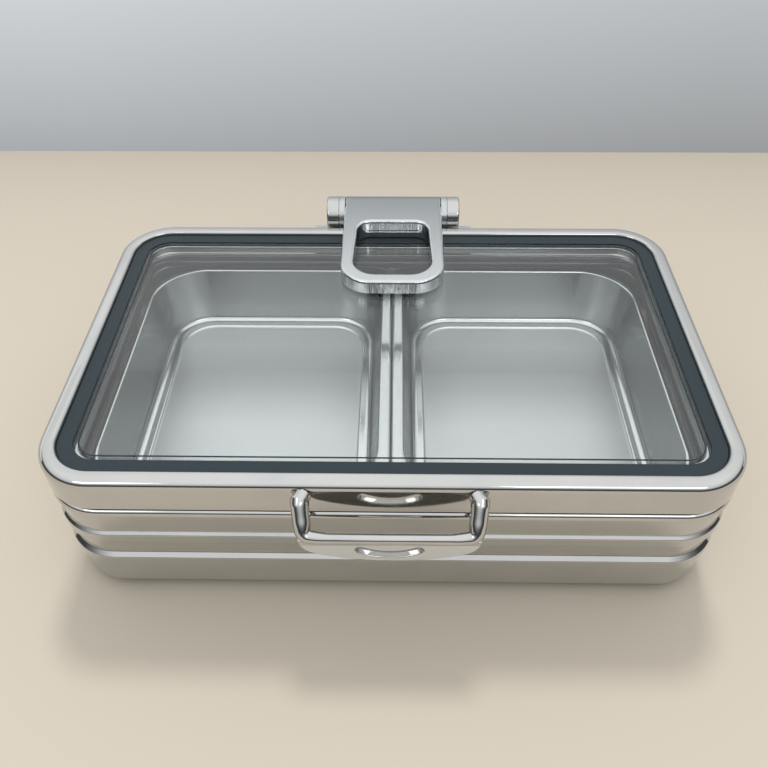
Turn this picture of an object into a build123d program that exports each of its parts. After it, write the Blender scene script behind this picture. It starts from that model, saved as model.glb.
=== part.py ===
"""Buffet warmer: a water pan with two food pans under a hinged, glazed lid.

Millimetres, +Z up, +X to the right seen from the front, -Y towards the user.
The origin is at the middle of the foot plate's underside, where the warmer stands.
"""
import os
from math import cos, radians, sin, tan

from build123d import *

os.makedirs("parts", exist_ok=True)

# Food pans
pan_width = 265.0           # flange of one pan, left to right
pan_depth = 325.0           # flange, front to back
pan_flange = 11.0           # flat rim round the opening
pan_flange_corner = 16.0
pan_corner = 30.0           # opening, in plan
pan_height = 65.0           # flange top to the underside of the floor
pan_draft = 4.0             # degrees that each wall leans in
pan_floor_radius = 15.0
pan_sheet = 1.0
pan_lip = 5.7               # turned-down edge, from the flange top
pan_gap = 0.6               # between the two flanges
pan_clearance = 0.8         # round the pair in its recess
pan_seat = 0.3              # under the turned-down edge
pan_rim_height = 110.0      # flange top above the table

# Water pan
sheet = 1.5
body_corner = 47.5
side_deck = 17.4            # recess to wall, left and right
front_deck = 12.7           # recess to wall, front and back
ledge_width = 9.0           # carries the pans' turned-down edges
foot_height = 4.0
foot_inset = 42.0
foot_corner = 26.0
bottom_radius = 12.0
bead_height = 15.0
bead_out = 2.5              # how far a bead stands out of the wall
bead_slope = 2.4            # bevel along a bead's top
bead_rounding = 2.2         # along a bead's lower edge
upper_bead_drop = 30.2      # pan flanges down to the middle of the upper bead
bead_spacing = 31.9
rolled_rim_height = 8.0
rolled_rim_out = 2.5
rolled_rim_rounding = 3.6
rim_above_pans = 8.0
deck_drop = 4.5             # rolled rim's top down to the deck

# Lid
lid_gap = 3.0               # closed lid above the rolled rim
lid_height = 32.5
lid_shoulder = 7.5          # rounding from skirt to top
frame_width = 14.6          # steel round the glazing, in plan
frame_edge = 1.1            # rounding of the frame's inner edge
shelf_width = 17.7
glass_thickness = 4.0
glass_below_crest = 4.8     # glass top under the frame's crest
glass_fit = 0.2
seal_fit = 0.1
seal_web = 3.0
seal_cover = 13.2           # width of the seal seen from above
seal_upper_lip = 0.8
seal_lower_lip = 1.2

# Hinge
hinge_behind = 21.5         # axis behind the lid's back
hinge_above_pans = 44.0     # axis above the pan flanges
barrel_radius = 19.0
damper_radius = 13.0
damper_gap = 12.0           # between the two damper cartridges
shaft_radius = 5.0
running_clearance = 0.05    # damper on the shaft
seat_clearance = 0.02       # parts that sit still in one another
arm_width = 104.0
arm_reach = 138.0           # hinge axis to the arm's front end
arm_slope = 3.3             # degrees that the arm's top rises to the barrel
arm_corner = 30.0
arm_edge = 3.4              # rounding along the arm's top and its window
arm_step_clearance = 1.4    # in front of the frame's inner edge
window_length = 83.0
window_border = 13.5        # in front of the window
window_front_side = 13.0    # arm's side to the window's front corners
window_rear_side = 15.0     # arm's side to the window's rear corners
window_front_corner = 22.0
window_rear_corner = 14.0
pad_thickness = 1.5         # soft pads between arm and glass
lug_gap = 0.4               # barrel end to lug
lug_thickness = 6.2
lug_front = 15.0            # lug's foot in front of the axis
cap_length = 13.7
cap_gap = 0.1
cap_chamfer = 1.2
cap_bore_depth = 8.0
cap_play = 0.5              # shaft end to the bottom of the cap's bore
bracket_overhang = 15.6     # bracket beyond the end caps
bracket_sheet = 3.0
bracket_stand_off = 4.6     # clears the beads and the rolled rim
bracket_shelf_gap = 5.0     # barrel to shelf
bracket_shelf_back = 13.7   # shelf's back edge behind the axis
bracket_below_studs = 13.0

# Handle
handle_reach = 25.5         # lid skirt to the middle of the grip
handle_stub_x = 67.0
handle_stub_height = 32.0   # above the pan flanges
handle_stub_radius = 6.0
handle_elbow_x = 70.0
handle_elbow_out = 4.5      # elbow in front of the lid skirt
handle_leg_radius = 6.6
grip_half_length = 73.5
grip_leg_x = 67.8
grip_thickness = 8.0
grip_top = 15.0             # above the pan flanges
grip_end_height = 16.3
grip_middle_height = 30.1
grip_upper_corner = 5.0
grip_lower_corner = 15.0
slot_length = 53.0
slot_height = 8.2
slot_sag = 5.5
slot_below_top = 15.5       # slot's middle line at its ends, below the grip's top

# Fasteners
stud_radius = 3.0
stud_x = 62.0
stud_drop = 11.3            # pan flanges down to the upper studs
stud_spacing = 35.0
spacer_radius = 6.0
nut_across_flats = 10.0
nut_height = 5.5
nut_dome_radius = 4.6
nut_bore_depth = 6.0
screw_radius = 2.0
screw_head_radius = 3.2
screw_head_height = 2.6
screw_depth = 8.0           # in the part that it is driven into
hole_clearance = 0.3
frame_screw_inset = 16.0    # from the arm's side
glass_screw_inset = 6.7
glass_screw_behind = 30.0   # behind the arm's front end
glass_hole_radius = 3.2
pad_radius = 6.0            # pads and washers on the glass
washer_thickness = 1.2
washer_radius = 4.0

# Derived sizes of the water pan
rim_top = pan_rim_height + rim_above_pans
deck_top = rim_top - deck_drop
upper_bead = pan_rim_height - upper_bead_drop
lower_bead = upper_bead - bead_spacing
ledge_top = pan_rim_height - pan_lip - pan_seat
recess_width = 2 * pan_width + pan_gap + 2 * pan_clearance
recess_depth = pan_depth + 2 * pan_clearance
recess_corner = pan_flange_corner + pan_clearance
body_width = recess_width + 2 * side_deck
body_depth = recess_depth + 2 * front_deck

# Derived sizes of the lid
lid_width = body_width + 2 * rolled_rim_out
lid_depth = body_depth + 2 * rolled_rim_out
lid_corner = body_corner + rolled_rim_out
lid_bottom = rim_top + lid_gap
lid_top = lid_bottom + lid_height
opening_width = lid_width - 2 * frame_width
opening_depth = lid_depth - 2 * frame_width
opening_corner = lid_corner - frame_width
glass_top = lid_top - glass_below_crest
glass_bottom = glass_top - glass_thickness
shelf_top = glass_bottom - seal_lower_lip
groove_inset = seal_fit + seal_web
glass_inset = groove_inset + glass_fit

# Derived places of the hinge and the handle
hinge_y = lid_depth / 2 + hinge_behind
hinge_z = pan_rim_height + hinge_above_pans
arm_front = hinge_y - arm_reach
arm_under = glass_top + pad_thickness
damper_length = (arm_width - damper_gap) / 2
window_front = arm_front + window_border
window_front_half = arm_width / 2 - window_front_side
window_rear_half = arm_width / 2 - window_rear_side
lug_inner = arm_width / 2 + lug_gap
cap_inner = lug_inner + lug_thickness + cap_gap
cap_outer = cap_inner + cap_length
shaft_half = cap_inner + cap_bore_depth - cap_play
bracket_half = cap_outer + bracket_overhang
bracket_front = body_depth / 2 + bracket_stand_off
bracket_top = hinge_z - barrel_radius - bracket_shelf_gap
stud_upper = pan_rim_height - stud_drop
stud_lower = stud_upper - stud_spacing
bracket_bottom = stud_lower - bracket_below_studs
stud_places = [(x, z) for x in (-stud_x, stud_x) for z in (stud_lower, stud_upper)]
frame_screw_x = arm_width / 2 - frame_screw_inset
glass_screw_x = arm_width / 2 - glass_screw_inset
frame_screw_y = opening_depth / 2 + sheet + screw_head_radius + seat_clearance
glass_screw_y = arm_front + glass_screw_behind
skirt_y = -lid_depth / 2
grip_y = skirt_y - handle_reach
handle_screw_z = pan_rim_height + handle_stub_height


def keep(piece, name):
    """Label a finished piece and write it out."""
    piece.label = name
    export_step(piece, f"parts/{name}.step")


def block(width, depth, corner, bottom, top, mode=Mode.ADD):
    """Upright block with a rounded-rectangle plan, added to the part in hand."""
    with BuildSketch(Plane.XY.offset(bottom)) as plan:
        RectangleRounded(width, depth, corner)
    extrude(plan.sketch, amount=top - bottom, mode=mode)


def soft_slab(width, depth, corner, bottom, top, upper=0.0, lower=0.0, bevel=0.0):
    """Block whose upper edges are rounded or bevelled and lower ones rounded, as a part of its own."""
    with BuildPart() as slab:
        block(width, depth, corner, bottom, top)
        if bevel:
            chamfer(slab.faces().sort_by(Axis.Z)[-1].edges(), bevel)
        if upper:
            fillet(slab.faces().sort_by(Axis.Z)[-1].edges(), upper)
        if lower:
            fillet(slab.faces().sort_by(Axis.Z)[0].edges(), lower)
    return slab.part


def bowl(centre_x, width, depth, corner, height, floor_radius):
    """Tapered bowl shape that hangs below the pan flanges, as a part of its own."""
    rim_plane = Plane(origin=(centre_x, 0, pan_rim_height), x_dir=(1, 0, 0), z_dir=(0, 0, -1))
    with BuildPart() as form:
        with BuildSketch(rim_plane):
            RectangleRounded(width, depth, corner)
        extrude(amount=height, taper=pan_draft)
        fillet(form.faces().sort_by(Axis.Z)[0].edges(), floor_radius)
    return form.part


def along_x(radius, start, end, y=hinge_y, z=hinge_z, mode=Mode.ADD):
    """Round bar along X, added to the part in hand."""
    with BuildSketch(Plane.YZ.offset(start)) as section:
        with Locations((y, z)):
            Circle(radius)
    extrude(section.sketch, amount=end - start, mode=mode)


def along_y(radius, start, end, places, mode=Mode.ADD):
    """Round bars along Y at (x, z) places, added to the part in hand."""
    with BuildSketch(Plane.XZ.offset(-start)) as section:
        with Locations(*places):
            Circle(radius)
    extrude(section.sketch, amount=start - end, mode=mode)


def along_z(radius, bottom, top, places, mode=Mode.ADD):
    """Round bars along Z at (x, y) places, added to the part in hand."""
    with BuildSketch(Plane.XY.offset(bottom)) as section:
        with Locations(*places):
            Circle(radius)
    extrude(section.sketch, amount=top - bottom, mode=mode)


# Water pan: beaded wall, rolled rim, deck and the recess that holds the food pans
hollow_width = body_width - 2 * sheet
hollow_depth = body_depth - 2 * sheet
hollow_corner = body_corner - sheet
wall = soft_slab(body_width, body_depth, body_corner, foot_height, deck_top, lower=bottom_radius)
hollow = soft_slab(
    hollow_width, hollow_depth, hollow_corner, foot_height + sheet, rim_top, lower=bottom_radius - sheet
)
rolled_rim = soft_slab(
    body_width + 2 * rolled_rim_out,
    body_depth + 2 * rolled_rim_out,
    body_corner + rolled_rim_out,
    rim_top - rolled_rim_height,
    rim_top,
    upper=rolled_rim_rounding,
    lower=rolled_rim_rounding,
)
beads = [
    soft_slab(
        body_width + 2 * bead_out,
        body_depth + 2 * bead_out,
        body_corner + bead_out,
        middle - bead_height / 2,
        middle + bead_height / 2,
        bevel=bead_slope,
        lower=bead_rounding,
    )
    for middle in (lower_bead, upper_bead)
]
with BuildPart() as water_pan:
    add(wall)
    add(rolled_rim)
    add(beads)
    add(hollow, mode=Mode.SUBTRACT)
    for middle in (lower_bead, upper_bead):
        block(
            body_width + 2 * (bead_out - sheet),
            body_depth + 2 * (bead_out - sheet),
            body_corner + bead_out - sheet,
            middle - bead_height / 2 + sheet,
            middle + bead_height / 2 - sheet - bead_slope / 2,
            Mode.SUBTRACT,
        )
    block(hollow_width, hollow_depth, hollow_corner, deck_top - sheet, deck_top)
    block(
        recess_width + 2 * sheet,
        recess_depth + 2 * sheet,
        recess_corner + sheet,
        ledge_top - sheet,
        deck_top,
    )
    block(recess_width, recess_depth, recess_corner, ledge_top, rim_top, Mode.SUBTRACT)
    block(
        recess_width - 2 * ledge_width,
        recess_depth - 2 * ledge_width,
        recess_corner - ledge_width,
        ledge_top - sheet,
        rim_top,
        Mode.SUBTRACT,
    )
keep(water_pan.part, "water_pan")

# Foot plate: heat-spreading plate under the floor, which the warmer stands on
with BuildPart() as foot_plate:
    block(body_width - 2 * foot_inset, body_depth - 2 * foot_inset, foot_corner, 0, foot_height)
keep(foot_plate.part, "foot_plate")


def food_pan(side):
    """Pan with a flat flange, a turned-down edge and tapered walls; side is -1 or 1."""
    centre_x = side * (pan_width + pan_gap) / 2
    mouth_width = pan_width - 2 * pan_flange
    mouth_depth = pan_depth - 2 * pan_flange
    outside = bowl(
        centre_x,
        mouth_width + 2 * pan_sheet,
        mouth_depth + 2 * pan_sheet,
        pan_corner + pan_sheet,
        pan_height,
        pan_floor_radius + pan_sheet,
    )
    inside = bowl(
        centre_x, mouth_width, mouth_depth, pan_corner, pan_height - pan_sheet, pan_floor_radius
    )
    with BuildPart() as pan:
        with BuildSketch(Plane.XY.offset(pan_rim_height - pan_lip)):
            with Locations((centre_x, 0)):
                RectangleRounded(pan_width, pan_depth, pan_flange_corner)
        extrude(amount=pan_lip)
        fillet(pan.faces().sort_by(Axis.Z)[-1].edges(), 2 * pan_sheet)
        with BuildSketch(Plane.XY.offset(pan_rim_height - pan_lip)):
            with Locations((centre_x, 0)):
                RectangleRounded(
                    pan_width - 2 * pan_sheet, pan_depth - 2 * pan_sheet, pan_flange_corner - pan_sheet
                )
        extrude(amount=pan_lip - pan_sheet, mode=Mode.SUBTRACT)
        add(outside)
        add(inside, mode=Mode.SUBTRACT)
    return pan.part


keep(food_pan(-1), "food_pan_left")
keep(food_pan(1), "food_pan_right")

# Lid frame: skirt and rounded shoulder, with a turned-down lip and a shelf for the glazing
lid_outside = soft_slab(lid_width, lid_depth, lid_corner, lid_bottom, lid_top, upper=lid_shoulder)
lid_inside = soft_slab(
    lid_width - 2 * sheet,
    lid_depth - 2 * sheet,
    lid_corner - sheet,
    lid_bottom,
    lid_top - sheet,
    upper=lid_shoulder - sheet,
)
handle_screw_places = [(-handle_stub_x, handle_screw_z), (handle_stub_x, handle_screw_z)]
frame_screw_places = [(-frame_screw_x, frame_screw_y), (frame_screw_x, frame_screw_y)]
glass_screw_places = [(-glass_screw_x, glass_screw_y), (glass_screw_x, glass_screw_y)]
with BuildPart() as lid_frame:
    add(lid_outside)
    add(lid_inside, mode=Mode.SUBTRACT)
    block(
        opening_width + 2 * sheet,
        opening_depth + 2 * sheet,
        opening_corner + sheet,
        shelf_top - sheet,
        lid_top - sheet,
    )
    block(opening_width, opening_depth, opening_corner, shelf_top, lid_top, Mode.SUBTRACT)
    block(
        opening_width - 2 * shelf_width,
        opening_depth - 2 * shelf_width,
        opening_corner - shelf_width,
        shelf_top - sheet,
        lid_top,
        Mode.SUBTRACT,
    )
    crest = lid_frame.faces().sort_by(Axis.Z)[-1]
    fillet(crest.inner_wires()[0].edges(), frame_edge)
    along_y(screw_radius + hole_clearance, skirt_y, skirt_y + 2 * sheet, handle_screw_places, Mode.SUBTRACT)
    along_z(
        screw_radius + hole_clearance, lid_top - 2 * sheet, lid_top, frame_screw_places, Mode.SUBTRACT
    )
keep(lid_frame.part, "lid_frame")

# Glazing: toughened pane with two drilled holes, and the channel seal round its edge
with BuildPart() as lid_glass:
    block(
        opening_width - 2 * glass_inset,
        opening_depth - 2 * glass_inset,
        opening_corner - glass_inset,
        glass_bottom,
        glass_top,
    )
    along_z(glass_hole_radius, glass_bottom, glass_top, glass_screw_places, Mode.SUBTRACT)
keep(lid_glass.part, "lid_glass")

with BuildPart() as glass_seal:
    block(
        opening_width - 2 * seal_fit,
        opening_depth - 2 * seal_fit,
        opening_corner - seal_fit,
        shelf_top,
        glass_top + seal_upper_lip,
    )
    block(
        opening_width - 2 * groove_inset,
        opening_depth - 2 * groove_inset,
        opening_corner - groove_inset,
        glass_bottom,
        glass_top,
        Mode.SUBTRACT,
    )
    block(
        opening_width - 2 * seal_cover,
        opening_depth - 2 * seal_cover,
        opening_corner - seal_cover,
        shelf_top,
        glass_top + seal_upper_lip,
        Mode.SUBTRACT,
    )
keep(glass_seal.part, "glass_seal")

# Hinge arm: one casting, the barrel and the windowed arm that carries the lid
slope = radians(arm_slope)
tangent_y = hinge_y - barrel_radius * sin(slope)
tangent_z = hinge_z + barrel_radius * cos(slope)
arm_front_top = tangent_z - (tangent_y - arm_front) * tan(slope)
arm_step = opening_depth / 2 - arm_step_clearance
with BuildPart() as hinge_arm:
    with BuildSketch(Plane.YZ):
        with BuildLine():
            Polyline(
                (arm_front, arm_under),
                (arm_front, arm_front_top),
                (tangent_y, tangent_z),
                (hinge_y, hinge_z),
                (hinge_y, lid_top),
                (arm_step, lid_top),
                (arm_step, arm_under),
                close=True,
            )
        make_face()
        with Locations((hinge_y, hinge_z)):
            Circle(barrel_radius)
    extrude(amount=arm_width / 2, both=True)
    fillet(hinge_arm.edges().filter_by(Axis.Z).group_by(Axis.Y)[0], arm_corner)
    with BuildSketch(Plane.XY.offset(arm_under)) as window:
        with BuildLine():
            Polyline(
                (-window_front_half, window_front),
                (window_front_half, window_front),
                (window_rear_half, window_front + window_length),
                (-window_rear_half, window_front + window_length),
                close=True,
            )
        make_face()
        fillet(window.vertices().group_by(Axis.Y)[0], window_front_corner)
        fillet(window.vertices().group_by(Axis.Y)[-1], window_rear_corner)
    extrude(amount=tangent_z - arm_under, mode=Mode.SUBTRACT)
    top = hinge_arm.faces().filter_by(GeomType.PLANE).sort_by(lambda face: face.normal_at().Z)[-1]
    sides_and_front = top.edges().sort_by(Axis.Y)[:-1]
    fillet(sides_and_front, arm_edge)
    along_x(damper_radius + seat_clearance, -arm_width / 2, arm_width / 2, mode=Mode.SUBTRACT)
    along_z(
        screw_radius + seat_clearance, arm_under, arm_under + screw_depth, glass_screw_places, Mode.SUBTRACT
    )
    along_z(screw_radius + seat_clearance, lid_top, lid_top + screw_depth, frame_screw_places, Mode.SUBTRACT)
keep(hinge_arm.part, "hinge_arm")


def damper(side):
    """Rotary damper cartridge in one end of the barrel; side is -1 or 1."""
    outer_end = side * arm_width / 2
    inner_end = outer_end - side * damper_length
    with BuildPart() as cartridge:
        along_x(damper_radius, inner_end, outer_end)
        along_x(shaft_radius + running_clearance, inner_end, outer_end, mode=Mode.SUBTRACT)
    return cartridge.part


keep(damper(-1), "damper_left")
keep(damper(1), "damper_right")

# Hinge shaft: held still by the bracket's lugs
with BuildPart() as hinge_shaft:
    along_x(shaft_radius, -shaft_half, shaft_half)
keep(hinge_shaft.part, "hinge_shaft")

# Hinge bracket: back plate, shelf and the two round-topped lugs
with BuildPart() as hinge_bracket:
    with BuildSketch(Plane.YZ):
        with BuildLine():
            Polyline(
                (bracket_front, bracket_bottom),
                (bracket_front, bracket_top),
                (hinge_y + bracket_shelf_back, bracket_top),
                (hinge_y + bracket_shelf_back, bracket_top - bracket_sheet),
                (bracket_front + bracket_sheet, bracket_top - bracket_sheet),
                (bracket_front + bracket_sheet, bracket_bottom),
                close=True,
            )
        make_face()
    extrude(amount=bracket_half, both=True)
    for start in (-lug_inner - lug_thickness, lug_inner):
        with BuildSketch(Plane.YZ.offset(start)):
            with Locations((hinge_y, hinge_z)):
                Circle(barrel_radius)
            with BuildLine():
                Polyline(
                    (hinge_y - lug_front, bracket_top),
                    (hinge_y + bracket_shelf_back, bracket_top),
                    (hinge_y + bracket_shelf_back, hinge_z),
                    (hinge_y - lug_front, hinge_z),
                    close=True,
                )
            make_face()
        extrude(amount=lug_thickness)
    along_x(shaft_radius + seat_clearance, -bracket_half, bracket_half, mode=Mode.SUBTRACT)
    along_y(
        stud_radius + hole_clearance, bracket_front, bracket_front + bracket_sheet, stud_places, Mode.SUBTRACT
    )
keep(hinge_bracket.part, "hinge_bracket")


def end_cap(side):
    """Turned cap over one end of the shaft, locked by a grub screw; side is -1 or 1."""
    inner = side * cap_inner
    outer = side * cap_outer
    middle = side * (cap_inner + cap_bore_depth / 2)
    with BuildPart() as cap:
        along_x(barrel_radius, inner, outer)
        chamfer(cap.edges().filter_by(GeomType.CIRCLE), cap_chamfer)
        along_x(shaft_radius + seat_clearance, inner, inner + side * cap_bore_depth, mode=Mode.SUBTRACT)
        along_z(
            screw_radius + seat_clearance,
            hinge_z - barrel_radius,
            hinge_z,
            [(middle, hinge_y)],
            Mode.SUBTRACT,
        )
    return cap.part


keep(end_cap(-1), "end_cap_left")
keep(end_cap(1), "end_cap_right")

cap_screw_x = cap_inner + cap_bore_depth / 2
with BuildPart() as cap_grub_screws:
    along_z(
        screw_radius,
        hinge_z - barrel_radius + cap_chamfer,
        hinge_z - shaft_radius - running_clearance,
        [(-cap_screw_x, hinge_y), (cap_screw_x, hinge_y)],
    )
keep(cap_grub_screws.part, "cap_grub_screws")

# Studs welded to the water pan's back wall, with the spacers and nuts that hold the bracket
wall_y = body_depth / 2
nut_y = bracket_front + bracket_sheet
with BuildPart() as bracket_studs:
    along_y(stud_radius, wall_y, nut_y + nut_bore_depth - cap_play, stud_places)
keep(bracket_studs.part, "bracket_studs")

with BuildPart() as bracket_spacers:
    along_y(spacer_radius, wall_y, bracket_front, stud_places)
    along_y(stud_radius + hole_clearance, wall_y, bracket_front, stud_places, Mode.SUBTRACT)
keep(bracket_spacers.part, "bracket_spacers")

with BuildPart() as bracket_nuts:
    with BuildSketch(Plane.XZ.offset(-nut_y)):
        with Locations(*stud_places):
            RegularPolygon(nut_across_flats / 2, 6, major_radius=False)
    extrude(amount=-nut_height)
    with Locations(*[(x, nut_y + nut_height, z) for x, z in stud_places]):
        Sphere(nut_dome_radius)
    along_y(
        stud_radius + seat_clearance,
        nut_y - nut_dome_radius,
        nut_y + nut_bore_depth,
        stud_places,
        Mode.SUBTRACT,
    )
keep(bracket_nuts.part, "bracket_nuts")

# Screws that hold the arm on the frame, driven up from inside the frame
with BuildPart() as frame_screws:
    along_z(
        screw_head_radius,
        lid_top - sheet - running_clearance - screw_head_height,
        lid_top - sheet - running_clearance,
        frame_screw_places,
    )
    along_z(
        screw_radius,
        lid_top - sheet - screw_head_height,
        lid_top + screw_depth - cap_play,
        frame_screw_places,
    )
keep(frame_screws.part, "frame_screws")

# Screws that hold the arm on the glass, with soft pads above and washers below
with BuildPart() as glass_pads:
    along_z(pad_radius, glass_top, arm_under, glass_screw_places)
    along_z(screw_radius + hole_clearance, glass_top, arm_under, glass_screw_places, Mode.SUBTRACT)
keep(glass_pads.part, "glass_pads")

washer_bottom = glass_bottom - washer_thickness
with BuildPart() as glass_washers:
    along_z(pad_radius, washer_bottom, glass_bottom, glass_screw_places)
    along_z(screw_radius + hole_clearance, washer_bottom, glass_bottom, glass_screw_places, Mode.SUBTRACT)
keep(glass_washers.part, "glass_washers")

with BuildPart() as glass_screws:
    along_z(screw_head_radius, washer_bottom - screw_head_height, washer_bottom, glass_screw_places)
    along_z(screw_radius, washer_bottom, arm_under + screw_depth - cap_play, glass_screw_places)
keep(glass_screws.part, "glass_screws")

# Handle: two short stubs, sloping legs and an upright grip with a curved slot
grip_top_z = pan_rim_height + grip_top
grip_bar_z = grip_top_z - grip_thickness / 2
with BuildPart() as handle:
    with BuildSketch(Plane.XZ.offset(-grip_y - grip_thickness / 2)) as grip_face:
        with BuildLine():
            Polyline(
                (-grip_half_length, grip_top_z - grip_end_height),
                (-grip_half_length, grip_top_z),
                (grip_half_length, grip_top_z),
                (grip_half_length, grip_top_z - grip_end_height),
            )
            ThreePointArc(
                (grip_half_length, grip_top_z - grip_end_height),
                (0, grip_top_z - grip_middle_height),
                (-grip_half_length, grip_top_z - grip_end_height),
            )
        make_face()
        fillet(grip_face.vertices().group_by(Axis.Y)[-1], grip_upper_corner)
        fillet(grip_face.vertices().group_by(Axis.Y)[0], grip_lower_corner)
    extrude(amount=grip_thickness)
    upper_edges = handle.edges().filter_by(Axis.X).group_by(Axis.Z)[-1]
    fillet(upper_edges, grip_thickness / 2 - seat_clearance)
    slot_z = grip_top_z - slot_below_top
    slot_half = (slot_length - slot_height) / 2
    slot_line = ThreePointArc(
        (-slot_half, slot_z), (0, slot_z - slot_sag), (slot_half, slot_z), mode=Mode.PRIVATE
    )
    with BuildSketch(Plane.XZ.offset(-grip_y - grip_thickness)):
        SlotArc(slot_line, slot_height)
    extrude(amount=2 * grip_thickness, mode=Mode.SUBTRACT)
    for side in (-1, 1):
        root = Vector(side * handle_stub_x, skirt_y, handle_screw_z)
        elbow = Vector(side * handle_elbow_x, skirt_y - handle_elbow_out, handle_screw_z)
        foot = Vector(side * grip_leg_x, grip_y, grip_bar_z)
        with BuildSketch(Plane(origin=root, z_dir=(0, -1, 0))):
            Circle(handle_stub_radius)
        with BuildSketch(Plane(origin=elbow, z_dir=(0, -1, 0))):
            Circle(handle_stub_radius)
        loft()
        with Locations(elbow):
            Sphere(handle_leg_radius)
        with BuildSketch(Plane(origin=elbow, x_dir=(1, 0, 0), z_dir=foot - elbow)):
            Circle(handle_leg_radius)
        with BuildSketch(Plane(origin=foot, x_dir=(1, 0, 0), z_dir=foot - elbow)):
            Ellipse(handle_leg_radius, grip_thickness / 2 - seat_clearance)
        loft()
    with BuildSketch(Plane.XZ.offset(-skirt_y)):
        Rectangle(lid_width, 2 * lid_top)
    extrude(amount=-lid_depth, mode=Mode.SUBTRACT)
    along_y(
        screw_radius + seat_clearance, skirt_y, skirt_y - screw_depth, handle_screw_places, Mode.SUBTRACT
    )
keep(handle.part, "handle")

inner_skirt_y = skirt_y + sheet
with BuildPart() as handle_washers:
    along_y(washer_radius, inner_skirt_y, inner_skirt_y + washer_thickness, handle_screw_places)
    along_y(
        screw_radius + hole_clearance,
        inner_skirt_y,
        inner_skirt_y + washer_thickness,
        handle_screw_places,
        Mode.SUBTRACT,
    )
keep(handle_washers.part, "handle_washers")

with BuildPart() as handle_screws:
    along_y(
        screw_head_radius,
        inner_skirt_y + washer_thickness,
        inner_skirt_y + washer_thickness + screw_head_height,
        handle_screw_places,
    )
    along_y(
        screw_radius, skirt_y - screw_depth + cap_play, inner_skirt_y + washer_thickness, handle_screw_places
    )
keep(handle_screws.part, "handle_screws")
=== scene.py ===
"""Buffet warmer: the finished looks of a water pan with two food pans under a hinged glass lid.

Everything is in metres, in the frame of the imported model: +Z up, the handle towards -Y.
"""

from math import atan2, cos, pi, radians, sin, sqrt, tan
from typing import NamedTuple

import bmesh
import bpy
from bpy.props import FloatProperty, FloatVectorProperty, PointerProperty
from mathutils import Matrix, Vector


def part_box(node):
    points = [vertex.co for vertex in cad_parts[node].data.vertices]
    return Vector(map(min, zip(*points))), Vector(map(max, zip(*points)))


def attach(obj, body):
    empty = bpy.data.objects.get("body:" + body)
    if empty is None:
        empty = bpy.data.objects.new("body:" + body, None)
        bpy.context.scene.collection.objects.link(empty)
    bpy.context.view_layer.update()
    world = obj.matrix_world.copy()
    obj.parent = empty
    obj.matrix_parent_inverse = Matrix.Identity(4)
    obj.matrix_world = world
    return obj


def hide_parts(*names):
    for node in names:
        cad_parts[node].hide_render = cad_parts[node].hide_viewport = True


bl_info = {
    "name": "Buffet Warmer",
    "version": (1, 0, 0),
    "blender": (4, 5, 0),
    "location": "View3D > Sidebar > Warmer",
    "description": "Builds the polished steel, glass and rubber of a buffet warmer",
    "category": "Object",
}

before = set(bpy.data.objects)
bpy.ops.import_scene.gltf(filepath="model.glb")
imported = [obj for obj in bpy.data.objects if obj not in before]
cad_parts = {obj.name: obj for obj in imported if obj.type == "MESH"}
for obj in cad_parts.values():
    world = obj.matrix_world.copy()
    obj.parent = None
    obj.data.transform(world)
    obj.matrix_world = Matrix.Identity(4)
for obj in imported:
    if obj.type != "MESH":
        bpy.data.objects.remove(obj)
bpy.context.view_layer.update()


# Settings


def length(name, description, default):
    """A size in metres that a user may change."""
    return FloatProperty(
        name=name, description=description, default=default, unit="LENGTH", precision=4
    )


def tilt(name, description, default):
    """An angle in radians that a user may change."""
    return FloatProperty(name=name, description=description, default=default, unit="ROTATION")


def amount(name, description, default):
    """A strength or power that a user may change."""
    return FloatProperty(name=name, description=description, default=default)


def share(name, description, default):
    """A value from 0 to 1 that a user may change."""
    return FloatProperty(
        name=name, description=description, default=default, min=0.0, max=1.0, subtype="FACTOR"
    )


def colour(name, description, default):
    """A linear colour that a user may change."""
    return FloatVectorProperty(
        name=name, description=description, default=default, subtype="COLOR", min=0.0, max=1.0
    )


class WarmerLidSizes(bpy.types.PropertyGroup):
    """Sizes of the lid's frame and its glazing seal."""
    half_width: length("Half width", "Middle of the lid to the skirt, left and right", 0.286)
    half_depth: length("Half depth", "Middle of the lid to the skirt, front and back", 0.1785)
    corner: length("Corner", "Radius of the skirt's corners in plan", 0.050)
    bottom: length("Bottom", "Skirt's lower edge above the table", 0.121)
    top: length("Top", "Crest of the frame above the table", 0.1535)
    shoulder: length("Shoulder", "Rounding from the skirt to the top", 0.0075)
    sheet: length("Sheet", "Thickness of the frame's sheet steel", 0.0015)
    band: length("Band", "Width of the steel seen round the glazing", 0.0146)
    band_edge: length("Band edge", "Rounding of the band's inner edge", 0.0034)
    shelf: length("Shelf", "Width of the shelf that carries the glazing", 0.0162)
    shelf_top: length("Shelf top", "Top of the shelf above the table", 0.1435)
    shelf_lip: length("Shelf lip", "Height of the shelf's turned-down edge", 0.0073)
    seal_width: length("Seal width", "Width of the seal seen from above", 0.0131)
    seal_top: length("Seal top", "Top of the seal above the table", 0.1495)
    seal_rounding: length("Seal rounding", "Rounding of the seal's edges", 0.0006)
    # Painted shade: a dark rubber strip on the glass stands in for the shadow of the shelf's inner
    # edge.
    shade_line_in: length("Line place", "Seal's inner edge to the dark line on the glass", 0.0036)
    line_width: length("Line width", "Width of the dark line on the glass", 0.0015)
    shade_line_height: length("Line height", "Height of the dark line on the glass", 0.0002)
    seal_foot: length("Seal foot", "Rounding of the seal's lower edges", 0.0003)
    cut_edge: length("Cut edge", "Rounding of the sheet's cut edges", 0.0005)
    shelf_edge: length("Shelf edge", "Rounding of the shelf's inner edge", 0.0007)
    shelf_fold: length("Shelf fold", "Rounding inside the fold under the shelf", 0.0008)


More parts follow.
